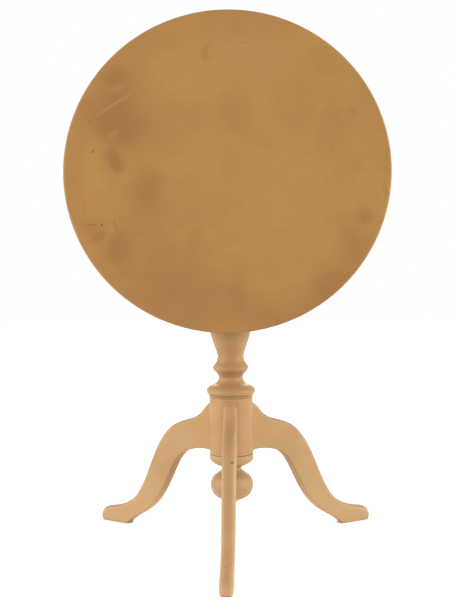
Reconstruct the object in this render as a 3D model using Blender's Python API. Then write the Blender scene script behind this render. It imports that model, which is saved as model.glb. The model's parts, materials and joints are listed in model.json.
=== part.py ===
"""A tilt-top pedestal table of turned and sawn wood, in metres, +Z up.

The round top is glued up from boards, stiffened by two battens and hung on two pintles at the
front edge of a block. It swings from upright, as modelled here, to level on the block, where a
spring catch holds it. The block is wedged on the tenon of a turned column, and three S-shaped
legs slide into dovetailed sockets in the column's foot, closed from below by a turned finial.
"""
import math

import bmesh
import bpy
from mathutils import Matrix, Vector

# Fits and facets
FIT = 0.0003                # gap between pieces that touch
CUT_PAST = 0.002            # how far a cut runs out of the piece it opens
TURNED_SIDES = 24
RIM_SIDES = 96
PIN_SIDES = 12
CURVE_STEPS = 2             # short edges in each span of a smooth curve
EDGE_STEPS = 3              # short edges across a rounded corner
NOSE_STEPS = 8              # short edges across the block's rounded front
SHARP_ANGLE = 60            # degrees: edges sharper than this are rounded
SHADE_ANGLE = 35            # degrees: edges sharper than this stay crisp

# Top
TABLE_HEIGHT = 0.7019       # floor to the upper face when the top is level
TOP_RADIUS = 0.310          # along the grain
TOP_HALF_ACROSS = 0.3036    # across the grain, where old boards have shrunk
TOP_THICKNESS = 0.021
TOP_EDGE_ROUND = 0.004
TOP_UNDER_CHAMFER = 0.005
TOP_BOARDS = 3

# Block on the column, with the pintles that the top swings on
BLOCK_WIDTH = 0.190
BLOCK_DEPTH = 0.190
BLOCK_THICKNESS = 0.042
BLOCK_CHAMFER = 0.005
PINTLE_RADIUS = 0.007
PINTLE_GRIP = 0.030         # length held in the block
PINTLE_CHAMFER = 0.001

# Battens across the underside
BATTEN_PLAY = 0.0008        # side play between block and batten
BATTEN_WIDTH = 0.030
BATTEN_WALL = 0.008         # wood left under the pintle hole
BATTEN_SETBACK = 0.043      # from the batten's end to the top's rim
BATTEN_TAPER = 0.035        # length of the sloped end
BATTEN_END = 0.014          # depth left at the tip
BATTEN_SCREWS = 3
BATTEN_SCREW_MARGIN = 0.042
BATTEN_SCREW_HEAD = 0.0045
BATTEN_SCREW_BITE = 0.012   # length that holds in the top

# Wood screws, as shares of the head's radius
SCREW_SHANK_SHARE = 0.5
SCREW_CONE_SHARE = 0.75     # depth of the countersunk head
SCREW_RIM_SHARE = 0.12      # depth of the head's straight rim
SLOT_WIDTH_SHARE = 0.28
SLOT_DEPTH_SHARE = 0.35

# Column and its joints
COLUMN_RADIUS = 0.0440
# Scribed lines under the collar: how far the wood there stands out from the column's foot, and height
# above the legs' upper ends
SCRIBED_LINES = ((0.0, 0.0126), (0.0010, 0.0168))
SCRIBED_DEPTH = 0.0008
TENON_RADIUS = 0.018
WEDGE_LENGTH = 0.027
WEDGE_THICK = 0.005
WEDGE_THIN = 0.002

# The collar: how far it stands out from the column's foot, and height above the legs' upper ends
COLLAR = (
    (0.0020, 0.0178), (0.0040, 0.0198), (0.0050, 0.0235), (0.0047, 0.0275), (0.0018, 0.0314),
    (-0.0029, 0.0355),
)
# The turning above the collar: radius, and height above the legs' upper ends
NECK = ((0.0316, 0.0396), (0.0273, 0.0436), (0.0244, 0.0512), (0.0258, 0.0558), (0.0287, 0.0599))
RING = ((0.0329, 0.0639), (0.0356, 0.0680), (0.0361, 0.0721), (0.0338, 0.0761), (0.0285, 0.0842))
URN = (
    (0.0265, 0.0930), (0.0278, 0.1010), (0.0316, 0.1126), (0.0371, 0.1288), (0.0404, 0.1410),
    (0.0430, 0.1610), (0.0400, 0.1790),
)
SHOULDER = ((0.0335, 0.1890), (0.0300, 0.1920), (0.0335, 0.1970), (0.0310, 0.2040), (0.0262, 0.2130))
# The turning under the block: radius, and drop from the column's shoulder
SHAFT_HEAD = ((0.0238, 0.0400), (0.0270, 0.0240), (0.0340, 0.0130), (0.0365, 0.0070), (0.0365, 0.0))

# Finial under the column: its bead, drawn in from the column's radius, then its ball and tip by
# radius, each with the drop from the column's foot
FINIAL_BEAD = ((-0.0003, 0.0085), (0.0009, 0.0125), (0.0040, 0.0166), (0.0103, 0.0207), (0.0200, 0.0248))
FINIAL_BALL = (
    (0.0194, 0.0308), (0.0250, 0.0372), (0.0358, 0.0453), (0.0413, 0.0535), (0.0430, 0.0640),
    (0.0412, 0.0740), (0.0370, 0.0822), (0.0261, 0.0904),
)
FINIAL_TIP = ((0.0158, 0.0945), (0.0104, 0.0986), (0.0076, 0.1050), (0.0045, 0.1110))
DOWEL_RADIUS = 0.011
DOWEL_LENGTH = 0.034

# Legs
LEG_HEIGHT = 0.2815         # floor to the leg's upper end on the column
LEG_SEAT = 0.0985           # length of the leg's seat on the column
COLUMN_SKIRT = 0.0042       # column left below the legs' seats
LEG_REACH = 0.335           # column axis to the tip of the toe
LEG_THICKNESS = 0.0265      # at the column
LEG_TOE_THICKNESS = 0.0238
LEG_EDGE_ROUND = 0.003
TOE_ROUND = 0.011           # corners of the toe, seen from above
LEG_ANGLES = {"leg_front": -90, "leg_right": 30, "leg_left": 150}
TONGUE_DEPTH = 0.016
TONGUE_ROOT = 0.012
TONGUE_FLARE = 0.018
TONGUE_DROP = 0.006         # from the leg's upper end to the tongue's
TONGUE_OVERLAP = 0.006      # length of the tongue inside the leg's wood
# Pattern of the leg: share of its reach outside the column, and share of its height
LEG_BACK_SHARES = (
    (0.0, 1.0), (0.034, 0.971), (0.089, 0.909), (0.137, 0.876), (0.206, 0.852), (0.282, 0.824),
    (0.351, 0.783), (0.406, 0.725), (0.461, 0.643), (0.516, 0.531), (0.570, 0.406), (0.625, 0.298),
    (0.680, 0.220), (0.742, 0.174), (0.818, 0.138), (0.900, 0.117), (0.955, 0.103), (0.986, 0.075),
    (1.0, 0.036),
)
LEG_SOLE_SHARES = (0.991, 0.742)    # toe and heel on the floor
LEG_UNDER_SHARES = (
    (0.708, 0.043), (0.660, 0.073), (0.598, 0.112), (0.536, 0.161), (0.481, 0.220), (0.426, 0.302),
    (0.378, 0.393), (0.337, 0.475), (0.296, 0.546), (0.254, 0.593), (0.206, 0.622), (0.151, 0.639),
    (0.089, 0.650),
)

# Spring catch under the top, and its strike plate in the block's rear face
CATCH_GAP = 0.004           # from the block's rear face to the case
CASE_LENGTH = 0.052
CASE_WIDTH = 0.022
CASE_HEIGHT = 0.0185
CASE_WALL = 0.004           # end wall that the spring pushes on
CASE_EDGE_ROUND = 0.002
FLANGE_WIDTH = 0.046
FLANGE_THICKNESS = 0.003
CASE_SCREW_HEAD = 0.0034
CASE_SCREW_BITE = 0.010
CASE_SCREW_MARGIN = 0.007
BOLT_WIDTH = 0.012
BOLT_HEIGHT = 0.008
BOLT_DEPTH = 0.006          # from the underside of the top to the bolt
BOLT_LENGTH = 0.040
BOLT_THROW = 0.008          # how far the bolt enters the block
BOLT_TRAVEL = 0.010         # how far the knob draws it back
BOLT_BEVEL = 0.006
KNOB_SET = 0.022            # from the bolt's tip to the knob
STEM_RADIUS = 0.002
STEM_GRIP = 0.004
KNOB_RADIUS = 0.0055
KNOB_HEIGHT = 0.011
SPRING_RADIUS = 0.0032
SPRING_WIRE = 0.00045
SPRING_TURNS = 7
SPRING_POINTS = 10          # points in each turn
STRIKE_PLAY = 0.0008        # room for the bolt in the strike plate
STRIKE_THICKNESS = 0.0015
STRIKE_RIM = 0.0035         # metal above and below the window
STRIKE_WING = 0.012         # metal at each side of the window
STRIKE_SCREW_HEAD = 0.0028
STRIKE_SCREW_BITE = 0.012

# Places that follow from these sizes
BLOCK_TOP = TABLE_HEIGHT - TOP_THICKNESS - FIT
BLOCK_BOTTOM = BLOCK_TOP - BLOCK_THICKNESS
PIVOT_INSET = BLOCK_THICKNESS / 2       # same from the block's front face and from its top
PIVOT_OUT = BLOCK_DEPTH / 2 - PIVOT_INSET
PIVOT_HEIGHT = BLOCK_TOP - PIVOT_INSET
COLUMN_TOP = BLOCK_BOTTOM - FIT
LEG_SEAT_FOOT = LEG_HEIGHT - LEG_SEAT
COLUMN_FOOT = LEG_SEAT_FOOT - COLUMN_SKIRT
UNDERSIDE = PIVOT_INSET + FIT           # height of the top's underside over the pivot, when level
BATTEN_DEPTH = PIVOT_INSET + PINTLE_RADIUS + BATTEN_WALL
BATTEN_INNER = BLOCK_WIDTH / 2 + BATTEN_PLAY
BATTEN_OUTER = BATTEN_INNER + BATTEN_WIDTH
TOP_SHRINKAGE = TOP_HALF_ACROSS / TOP_RADIUS
BATTEN_HALF = math.sqrt(TOP_RADIUS**2 - BATTEN_OUTER**2) * TOP_SHRINKAGE - BATTEN_SETBACK
BLOCK_REAR = BLOCK_DEPTH - PIVOT_INSET  # pivot to the block's rear face
CASE_START = BLOCK_REAR + CATCH_GAP
CASE_END = CASE_START + CASE_LENGTH
BOLT_TIP = BLOCK_REAR - BOLT_THROW
BOLT_END = BOLT_TIP + BOLT_LENGTH
BOLT_MIDDLE = BOLT_DEPTH + BOLT_HEIGHT / 2
KNOB_PLACE = BOLT_TIP + KNOB_SET
BORE_END = CASE_END - CASE_WALL
WINDOW_WIDTH = BOLT_WIDTH + 2 * STRIKE_PLAY
WINDOW_HEIGHT = BOLT_HEIGHT + 2 * STRIKE_PLAY
STRIKE_WIDTH = WINDOW_WIDTH + 2 * STRIKE_WING
STRIKE_HEIGHT = WINDOW_HEIGHT + 2 * STRIKE_RIM
UPRIGHT = math.pi / 2                   # turn of the hinge from level to upright

# Colours, linear
TAN_WOOD = (0.585, 0.356, 0.178)
OCHRE_WOOD = (0.479, 0.258, 0.083)
PALE_WOOD = (0.50, 0.33, 0.18)
BRASS = (0.60, 0.42, 0.16)
IRON = (0.10, 0.09, 0.08)


# Tools

def new_mesh(name, bm):
    """Close a bmesh into a mesh with its faces pointing out."""
    bmesh.ops.recalc_face_normals(bm, faces=bm.faces)
    mesh = bpy.data.meshes.new(name)
    bm.to_mesh(mesh)
    bm.free()
    return mesh


def smooth(points):
    """A smooth curve through points, with CURVE_STEPS short edges in each span."""
    points = [Vector(point) for point in points]
    padded = [points[0], *points, points[-1]]
    path = []
    for before, start, end, after in zip(padded, padded[1:], padded[2:], padded[3:]):
        leave = (end - before) / 2
        arrive = (after - start) / 2
        for step in range(CURVE_STEPS):
            t = step / CURVE_STEPS
            ease = t * t * (3 - 2 * t)
            pull_out = t * (1 - t) ** 2
            pull_in = t * t * (t - 1)
            path.append(start.lerp(end, ease) + pull_out * leave + pull_in * arrive)
    path.append(points[-1])
    return [tuple(point) for point in path]


def arc(centre, radius, first, last, steps):
    """Points on a circle between two angles in degrees."""
    angles = [math.radians(first + (last - first) * i / steps) for i in range(steps + 1)]
    return [(centre[0] + radius * math.cos(a), centre[1] + radius * math.sin(a)) for a in angles]


def outside(radius, sides):
    """Radius at the corners of a round hole whose flats clear a pin of this radius."""
    return (radius + FIT) / math.cos(math.pi / sides)


def turned(name, profile, sides):
    """A solid of revolution about Z from (radius, height) points that begin and end on the axis."""
    bm = bmesh.new()
    verts = [bm.verts.new((radius, 0.0, height)) for radius, height in profile]
    edges = [bm.edges.new(pair) for pair in zip(verts, verts[1:])]
    bmesh.ops.spin(
        bm, geom=verts + edges, cent=(0, 0, 0), axis=(0, 0, 1), angle=2 * math.pi, steps=sides, use_merge=True
    )
    bmesh.ops.remove_doubles(bm, verts=bm.verts, dist=FIT / 100)
    return new_mesh(name, bm)


def rod(name, radius, start, end, sides):
    """A plain round rod about Z."""
    return turned(name, [(0, start), (radius, start), (radius, end), (0, end)], sides)


def prism(name, outline, start, end):
    """An outline of (y, z) points drawn out along X."""
    bm = bmesh.new()
    face = bm.faces.new([bm.verts.new((start, y, z)) for y, z in outline])
    grown = bmesh.ops.extrude_face_region(bm, geom=[face])
    far = [item for item in grown["geom"] if isinstance(item, bmesh.types.BMVert)]
    bmesh.ops.translate(bm, verts=far, vec=(end - start, 0, 0))
    return new_mesh(name, bm)


def box(name, low, high):
    """A box between two corners."""
    outline = [(low[1], low[2]), (high[1], low[2]), (high[1], high[2]), (low[1], high[2])]
    return prism(name, outline, low[0], high[0])


def swing(mesh, matrix):
    """Turn or move a mesh in place."""
    mesh.transform(matrix)
    return mesh


def joined(meshes):
    """Several separate solids in one mesh, for cutting."""
    bm = bmesh.new()
    for mesh in meshes:
        bm.from_mesh(mesh)
        bpy.data.meshes.remove(mesh)
    return new_mesh("cuts", bm)


def place(name, mesh, parent, location=(0, 0, 0), rotation=(0, 0, 0)):
    """An object under a parent frame."""
    piece = bpy.data.objects.new(name, mesh)
    bpy.context.collection.objects.link(piece)
    piece.parent = parent
    piece.location = location
    piece.rotation_euler = rotation
    return piece


def frame(name, parent=None, location=(0, 0, 0), rotation=(0, 0, 0)):
    """An empty that pieces are placed in."""
    return place(name, None, parent, location, rotation)


def settle(piece):
    """Make the piece's modifiers part of its mesh."""
    bpy.context.view_layer.update()
    graph = bpy.context.evaluated_depsgraph_get()
    mesh = bpy.data.meshes.new_from_object(piece.evaluated_get(graph))
    piece.modifiers.clear()
    piece.data = mesh


def shape(piece, operation, mesh):
    """Cut, join or trim a piece with a mesh given in the piece's own frame."""
    tool = place("tool", mesh, piece.parent, piece.location, piece.rotation_euler)
    modifier = piece.modifiers.new("shape", "BOOLEAN")
    modifier.operation = operation
    modifier.object = tool
    settle(piece)
    bpy.data.objects.remove(tool)


def ease_edges(piece, width):
    """Round the sharp edges of a piece."""
    bevel = piece.modifiers.new("edges", "BEVEL")
    bevel.width = width
    bevel.segments = 2
    bevel.limit_method = "ANGLE"
    bevel.angle_limit = math.radians(SHARP_ANGLE)
    bevel.use_clamp_overlap = True
    settle(piece)


def finish(name, colour, roughness, metallic=0.0):
    """A plain Principled surface."""
    material = bpy.data.materials.new(name)
    material.use_nodes = True
    shader = material.node_tree.nodes["Principled BSDF"]
    shader.inputs["Base Color"].default_value = (*colour, 1.0)
    shader.inputs["Roughness"].default_value = roughness
    shader.inputs["Metallic"].default_value = metallic
    return material


def dress(piece, material):
    """Give a piece its surface, with round faces shaded smooth."""
    piece.data.materials.clear()
    piece.data.materials.append(material)
    piece.data.shade_smooth()
    piece.data.set_sharp_from_angle(angle=math.radians(SHADE_ANGLE))


# Screws

def screw_profile(length, head, gap):
    """A countersunk wood screw, head up, from its point to the middle of its head."""
    shank = head * SCREW_SHANK_SHARE
    point = -length - gap
    return [
        (0, point),
        (shank / 2 + gap, point),
        (shank + gap, point + shank),
        (shank + gap, -head * SCREW_CONE_SHARE),
        (head + gap, -head * SCREW_RIM_SHARE),
        (head + gap, 0),
        (0, 0),
    ]


def screw(length, head):
    """One slotted wood screw with the top of its head at the origin."""
    mesh = turned("screw", screw_profile(length, head, 0), PIN_SIDES)
    piece = place("screw", mesh, None)
    half = head * SLOT_WIDTH_SHARE / 2
    slot = box("slot", (-2 * head, -half, -head * SLOT_DEPTH_SHARE), (2 * head, half, CUT_PAST))
    shape(piece, "DIFFERENCE", slot)
    mesh = piece.data
    bpy.data.objects.remove(piece)
    return mesh


def screw_holes(places, rotation, length, head):
    """Holes that fit screws at these places, opened at the head."""
    profile = screw_profile(length, head, FIT)[:-2]
    profile += [(head + FIT, CUT_PAST), (0, CUT_PAST)]
    turn = Matrix.Rotation(rotation, 4, "X")
    return joined(
        [swing(turned("hole", profile, PIN_SIDES), Matrix.Translation(spot) @ turn) for spot in places]
    )


# Column and finial

def column_profile():
    """The column from its foot to the end of its tenon."""
    profile = [(0, COLUMN_FOOT), (COLUMN_RADIUS, COLUMN_FOOT)]
    for stand, rise in SCRIBED_LINES:
        line = LEG_HEIGHT + rise
        around = COLUMN_RADIUS + stand
        profile += [
            (around, line - SCRIBED_DEPTH),
            (around - SCRIBED_DEPTH, line),
            (around, line + SCRIBED_DEPTH),
        ]
    lower = [(COLUMN_RADIUS + stand, LEG_HEIGHT + rise) for stand, rise in COLLAR]
    lower += [(radius, LEG_HEIGHT + rise) for radius, rise in NECK + RING + URN + SHOULDER]
    upper = [(radius, COLUMN_TOP - drop) for radius, drop in SHAFT_HEAD]
    profile += smooth(lower + upper)
    tenon_end = BLOCK_TOP - FIT
    return profile + [(TENON_RADIUS, COLUMN_TOP), (TENON_RADIUS, tenon_end), (0, tenon_end)]


def standing(name, plan, foot, top):
    """A plan of (x, y) points drawn up along Z."""
    upright = Matrix(((0, 1, 0, 0), (0, 0, 1, 0), (1, 0, 0, 0), (0, 0, 0, 1)))
    return swing(prism(name, plan, foot, top), upright)


def mirrored(half_plan):
    """A plan closed by its mirror image in the X axis."""
    return half_plan + [(x, -y) for x, y in reversed(half_plan)]


def dovetail(gap, foot, top, end):
    """The dovetail of a leg pointing along X, or with a gap the socket that takes it."""
    tip = COLUMN_RADIUS - TONGUE_DEPTH - gap
    half_root = TONGUE_ROOT / 2 + gap
    root = COLUMN_RADIUS - TONGUE_DEPTH / 4
    plan = [(tip, TONGUE_FLARE / 2 + gap), (root, half_root), (end, half_root)]
    return standing("dovetail", mirrored(plan), foot, top)


def wedge_outline(gap):
    """The wedge seen along its width, thick end up."""
    top = BLOCK_TOP - FIT
    thick = WEDGE_THICK / 2 + gap
    thin = WEDGE_THIN / 2 + gap
    return [(-thick, top), (-thin, top - WEDGE_LENGTH - gap), (thin, top - WEDGE_LENGTH - gap), (thick, top)]


def make_column(pedestal, wood):
    column = place("column", turned("column", column_profile(), TURNED_SIDES), pedestal)
    tongue_top = LEG_HEIGHT - TONGUE_DROP
    for angle in LEG_ANGLES.values():
        socket = dovetail(FIT, COLUMN_FOOT - CUT_PAST, tongue_top + FIT, COLUMN_RADIUS + CUT_PAST)
        shape(column, "DIFFERENCE", swing(socket, Matrix.Rotation(math.radians(angle), 4, "Z")))
    dowel_hole = rod(
        "hole", outside(DOWEL_RADIUS, TURNED_SIDES), COLUMN_FOOT - CUT_PAST, COLUMN_FOOT + DOWEL_LENGTH + FIT,
        TURNED_SIDES,
    )
    shape(column, "DIFFERENCE", dowel_hole)
    left, low_left, low_right, right = wedge_outline(FIT)
    slit = [(left[0], left[1] + CUT_PAST), left, low_left, low_right, right, (right[0], right[1] + CUT_PAST)]
    across = Matrix.Rotation(math.pi / 2, 4, "Z")
    shape(column, "DIFFERENCE", swing(prism("slit", slit, -2 * TENON_RADIUS, 2 * TENON_RADIUS), across))
    dress(column, wood)


def make_wedge(pedestal, wood):
    """The wedge in the tenon, lying from front to back."""
    half = math.sqrt(TENON_RADIUS**2 - (WEDGE_THICK / 2) ** 2) - FIT
    mesh = swing(prism("tenon_wedge", wedge_outline(0), -half, half), Matrix.Rotation(math.pi / 2, 4, "Z"))
    wedge = place("tenon_wedge", mesh, pedestal)
    dress(wedge, wood)


def make_finial(pedestal, wood):
    """The drop finial with the dowel that holds it in the column's foot."""
    top = COLUMN_FOOT - FIT
    below = [(COLUMN_RADIUS, top)]
    bead = [(COLUMN_RADIUS - draw, top - drop) for draw, drop in FINIAL_BEAD]
    below += smooth(bead + [(radius, top - drop) for radius, drop in FINIAL_BALL + FINIAL_TIP])
    dowel_end = COLUMN_FOOT + DOWEL_LENGTH
    dowel = [(0, dowel_end), (DOWEL_RADIUS, dowel_end), (DOWEL_RADIUS, top)]
    profile = dowel + below + [(0, below[-1][1])]
    finial = place("finial", turned("finial", profile, TURNED_SIDES), pedestal)
    dress(finial, wood)


# Legs

def leg_outline():
    """The sawn outline of a leg pointing along X, run into the column where the cope will cut it."""
    reach = LEG_REACH - COLUMN_RADIUS

    def at(out, up):
        return COLUMN_RADIUS + out * reach, up * LEG_HEIGHT

    inside = COLUMN_RADIUS - TONGUE_DEPTH / 2
    back = smooth([at(out, up) for out, up in LEG_BACK_SHARES])
    sole = [at(out, 0) for out in LEG_SOLE_SHARES]
    under = smooth([at(out, up) for out, up in LEG_UNDER_SHARES] + [(COLUMN_RADIUS, LEG_SEAT_FOOT)])
    return [(inside, LEG_HEIGHT)] + back + sole + under + [(inside, LEG_SEAT_FOOT)]


def toe_plan():
    """The leg from above, a little wider than its wood, with the toe's corners rounded."""
    half = LEG_TOE_THICKNESS / 2
    radius = min(TOE_ROUND, half - LEG_EDGE_ROUND)
    centre = (LEG_REACH - radius, half - radius)
    corner = arc(centre, radius, 90, 0, EDGE_STEPS)
    wide = max(LEG_THICKNESS, LEG_TOE_THICKNESS) / 2 + CUT_PAST
    return mirrored([(0, wide), (LEG_REACH - 2 * radius, wide), (LEG_REACH - 2 * radius, half)] + corner)


def taper(mesh):
    """Plane a leg that points along X from its full thickness at the column to the toe's."""
    for vert in mesh.vertices:
        share = (vert.co.x - COLUMN_RADIUS) / (LEG_REACH - COLUMN_RADIUS)
        thickness = LEG_THICKNESS + (LEG_TOE_THICKNESS - LEG_THICKNESS) * share
        vert.co.y *= thickness / LEG_THICKNESS


def leg_mesh():
    """One leg with its rounded edges, coped shoulder and dovetail tongue."""
    half = LEG_THICKNESS / 2
    mesh = prism("leg", leg_outline(), -half, half)
    # The prism runs along X with its outline in Y and Z: turn it so that the outline lies in X and Z
    swing(mesh, Matrix(((0, 1, 0, 0), (1, 0, 0, 0), (0, 0, 1, 0), (0, 0, 0, 1))))
    mesh.flip_normals()
    taper(mesh)
    leg = place("leg", mesh, None)
    ease_edges(leg, LEG_EDGE_ROUND)
    shape(leg, "INTERSECT", standing("toe", toe_plan(), -CUT_PAST, LEG_HEIGHT + CUT_PAST))
    cope = rod("cope", outside(COLUMN_RADIUS, TURNED_SIDES), 0, COLUMN_TOP, TURNED_SIDES)
    shape(leg, "DIFFERENCE", cope)
    tongue_top = LEG_HEIGHT - TONGUE_DROP
    neck_start = COLUMN_RADIUS - TONGUE_DEPTH / 2
    neck_foot = LEG_SEAT_FOOT + LEG_EDGE_ROUND
    half_root = TONGUE_ROOT / 2
    neck_end = COLUMN_RADIUS + TONGUE_OVERLAP
    neck = box("neck", (neck_start, -half_root, neck_foot), (neck_end, half_root, tongue_top - FIT))
    shape(leg, "UNION", neck)
    shape(leg, "UNION", dovetail(0, COLUMN_FOOT + FIT, tongue_top, COLUMN_RADIUS - 2 * FIT))
    mesh = leg.data
    bpy.data.objects.remove(leg)
    return mesh


def make_legs(pedestal, mesh, wood):
    for name, angle in LEG_ANGLES.items():
        leg = place(name, mesh, pedestal, rotation=(0, 0, math.radians(angle)))
        dress(leg, wood)


def column_setback(mesh):
    """How far behind the middle of the floor plan the column stands, so that the plan is centred."""
    front = max(vert.co.x for vert in mesh.vertices)
    slant = math.radians(LEG_ANGLES["leg_right"])
    rear = max(vert.co.x * math.sin(slant) + vert.co.y * math.cos(slant) for vert in mesh.vertices)
    return (front - rear) / 2


# Block, pintles and strike plate

def block_outline():
    """The block from its side, with the front edge rounded about the pivot."""
    front = -BLOCK_DEPTH / 2
    rear = BLOCK_DEPTH / 2
    pivot = (-PIVOT_OUT, PIVOT_HEIGHT)
    nose = arc(pivot, PIVOT_INSET, 180, 90, NOSE_STEPS)
    foot = [(rear, BLOCK_BOTTOM + BLOCK_CHAMFER), (rear - BLOCK_CHAMFER, BLOCK_BOTTOM)]
    foot += [(front + BLOCK_CHAMFER, BLOCK_BOTTOM), (front, BLOCK_BOTTOM + BLOCK_CHAMFER)]
    return nose + [(rear, BLOCK_TOP)] + foot


def strike_places():
    """Where the two strike plate screws go, on the block's rear face."""
    side = (WINDOW_WIDTH + STRIKE_WING) / 2
    return [(x, BLOCK_DEPTH / 2, BLOCK_TOP - BOLT_MIDDLE) for x in (-side, side)]


def rear_box(name, width, height, depth, past):
    """A box let into the block's rear face, level with the bolt."""
    rear = BLOCK_DEPTH / 2
    middle = BLOCK_TOP - BOLT_MIDDLE
    low = (-width / 2, rear - depth, middle - height / 2)
    high = (width / 2, rear + past, middle + height / 2)
    return box(name, low, high)


def make_block(pedestal, wood):
    half = BLOCK_WIDTH / 2
    block = place("tilt_block", prism("tilt_block", block_outline(), -half, half), pedestal)
    mortise_radius = outside(TENON_RADIUS, TURNED_SIDES)
    mortise = rod("hole", mortise_radius, BLOCK_BOTTOM - CUT_PAST, BLOCK_TOP + CUT_PAST, TURNED_SIDES)
    shape(block, "DIFFERENCE", mortise)
    for side in (-1, 1):
        socket = rod(
            "hole", outside(PINTLE_RADIUS, PIN_SIDES), half - PINTLE_GRIP - FIT, half + CUT_PAST, PIN_SIDES
        )
        turn = Matrix.Rotation(side * math.pi / 2, 4, "Y")
        shape(block, "DIFFERENCE", swing(socket, Matrix.Translation((0, -PIVOT_OUT, PIVOT_HEIGHT)) @ turn))
    recess = rear_box(
        "hole", STRIKE_WIDTH + 2 * FIT, STRIKE_HEIGHT + 2 * FIT, STRIKE_THICKNESS + FIT, CUT_PAST
    )
    shape(block, "DIFFERENCE", recess)
    pocket = rear_box("hole", WINDOW_WIDTH, WINDOW_HEIGHT, BOLT_THROW + STRIKE_PLAY, CUT_PAST)
    shape(block, "DIFFERENCE", pocket)
    pilots = screw_holes(
        strike_places(), -math.pi / 2, STRIKE_THICKNESS + STRIKE_SCREW_BITE, STRIKE_SCREW_HEAD
    )
    shape(block, "DIFFERENCE", pilots)
    dress(block, wood)


def make_pintles(pedestal, wood):
    """The two pins driven into the block, with their free ends in the battens."""
    outer = BATTEN_OUTER - FIT
    inner = BLOCK_WIDTH / 2 - PINTLE_GRIP
    rounded = PINTLE_RADIUS - PINTLE_CHAMFER
    profile = [
        (0, inner), (rounded, inner), (PINTLE_RADIUS, inner + PINTLE_CHAMFER),
        (PINTLE_RADIUS, outer - PINTLE_CHAMFER), (rounded, outer), (0, outer),
    ]
    mesh = turned("pintle", profile, PIN_SIDES)
    for name, side in (("pintle_left", -1), ("pintle_right", 1)):
        turn = (0, side * math.pi / 2, 0)
        pintle = place(name, mesh, pedestal, (0, -PIVOT_OUT, PIVOT_HEIGHT), turn)
        dress(pintle, wood)


def make_strike(pedestal, brass):
    plate = place(
        "strike_plate", rear_box("strike_plate", STRIKE_WIDTH, STRIKE_HEIGHT, STRIKE_THICKNESS, 0), pedestal
    )
    window = rear_box("hole", WINDOW_WIDTH, WINDOW_HEIGHT, STRIKE_THICKNESS + CUT_PAST, CUT_PAST)
    shape(plate, "DIFFERENCE", window)
    length = STRIKE_THICKNESS + STRIKE_SCREW_BITE
    shape(plate, "DIFFERENCE", screw_holes(strike_places(), -math.pi / 2, length, STRIKE_SCREW_HEAD))
    dress(plate, brass)
    mesh = screw(length, STRIKE_SCREW_HEAD)
    for side, spot in zip(("left", "right"), strike_places()):
        piece = place(f"strike_screw_{side}", mesh, pedestal, spot, (-math.pi / 2, 0, 0))
        dress(piece, brass)


# Top and battens, in the hinge's frame: +Y back from the pivot, +Z up, as when the top is level

def batten_places():
    """Where the screws' heads lie on the battens' lower faces, in pairs from left and right."""
    face = UNDERSIDE - FIT - BATTEN_DEPTH
    middle = (BATTEN_INNER + BATTEN_OUTER) / 2
    run = BATTEN_HALF - BATTEN_SCREW_MARGIN
    steps = [PIVOT_OUT - run + 2 * run * i / (BATTEN_SCREWS - 1) for i in range(BATTEN_SCREWS)]
    return {side: [(x, y, face) for y in steps] for side, x in (("left", -middle), ("right", middle))}


def case_places():
    """Where the heads of the catch's screws lie on its flanges."""
    side = (CASE_WIDTH + FLANGE_WIDTH) / 4
    ends = (CASE_START + CASE_SCREW_MARGIN, CASE_END - CASE_SCREW_MARGIN)
    return [(x, y, UNDERSIDE - FIT - FLANGE_THICKNESS) for y in ends for x in (-side, side)]


def top_profile():
    """The edge of the top, from the middle of its underside to the middle of its face."""
    face = UNDERSIDE + TOP_THICKNESS
    corner = (TOP_RADIUS - TOP_EDGE_ROUND, face - TOP_EDGE_ROUND)
    edge = [(0, UNDERSIDE), (TOP_RADIUS - TOP_UNDER_CHAMFER, UNDERSIDE)]
    edge += [(TOP_RADIUS, UNDERSIDE + TOP_UNDER_CHAMFER)]
    return edge + arc(corner, TOP_EDGE_ROUND, 0, 90, EDGE_STEPS) + [(0, face)]


def make_top(hinge, wood):
    """The boards of the top: slices of one disc, with pilot holes for every screw."""
    batten_length = BATTEN_DEPTH + BATTEN_SCREW_BITE
    case_length = FLANGE_THICKNESS + CASE_SCREW_BITE
    width = 2 * TOP_HALF_ACROSS / TOP_BOARDS
    seams = [PIVOT_OUT - TOP_HALF_ACROSS + width * i for i in range(TOP_BOARDS + 1)]
    seams[0] -= CUT_PAST
    seams[-1] += CUT_PAST
    reach = TOP_RADIUS + CUT_PAST
    below = UNDERSIDE - CUT_PAST
    above = UNDERSIDE + TOP_THICKNESS + CUT_PAST
    for number, (start, end) in enumerate(zip(seams, seams[1:]), 1):
        shrunk = Matrix.Diagonal((1, TOP_SHRINKAGE, 1, 1))
        disc = swing(turned("disc", top_profile(), RIM_SIDES), Matrix.Translation((0, PIVOT_OUT, 0)) @ shrunk)
        board = place(f"top_board_{number}", disc, hinge)
        strip = box("strip", (-reach, start + FIT / 2, below), (reach, end - FIT / 2, above))
        shape(board, "INTERSECT", strip)
        for spots in batten_places().values():
            shape(board, "DIFFERENCE", screw_holes(spots, math.pi, batten_length, BATTEN_SCREW_HEAD))
        shape(board, "DIFFERENCE", screw_holes(case_places(), math.pi, case_length, CASE_SCREW_HEAD))
        dress(board, wood)


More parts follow.
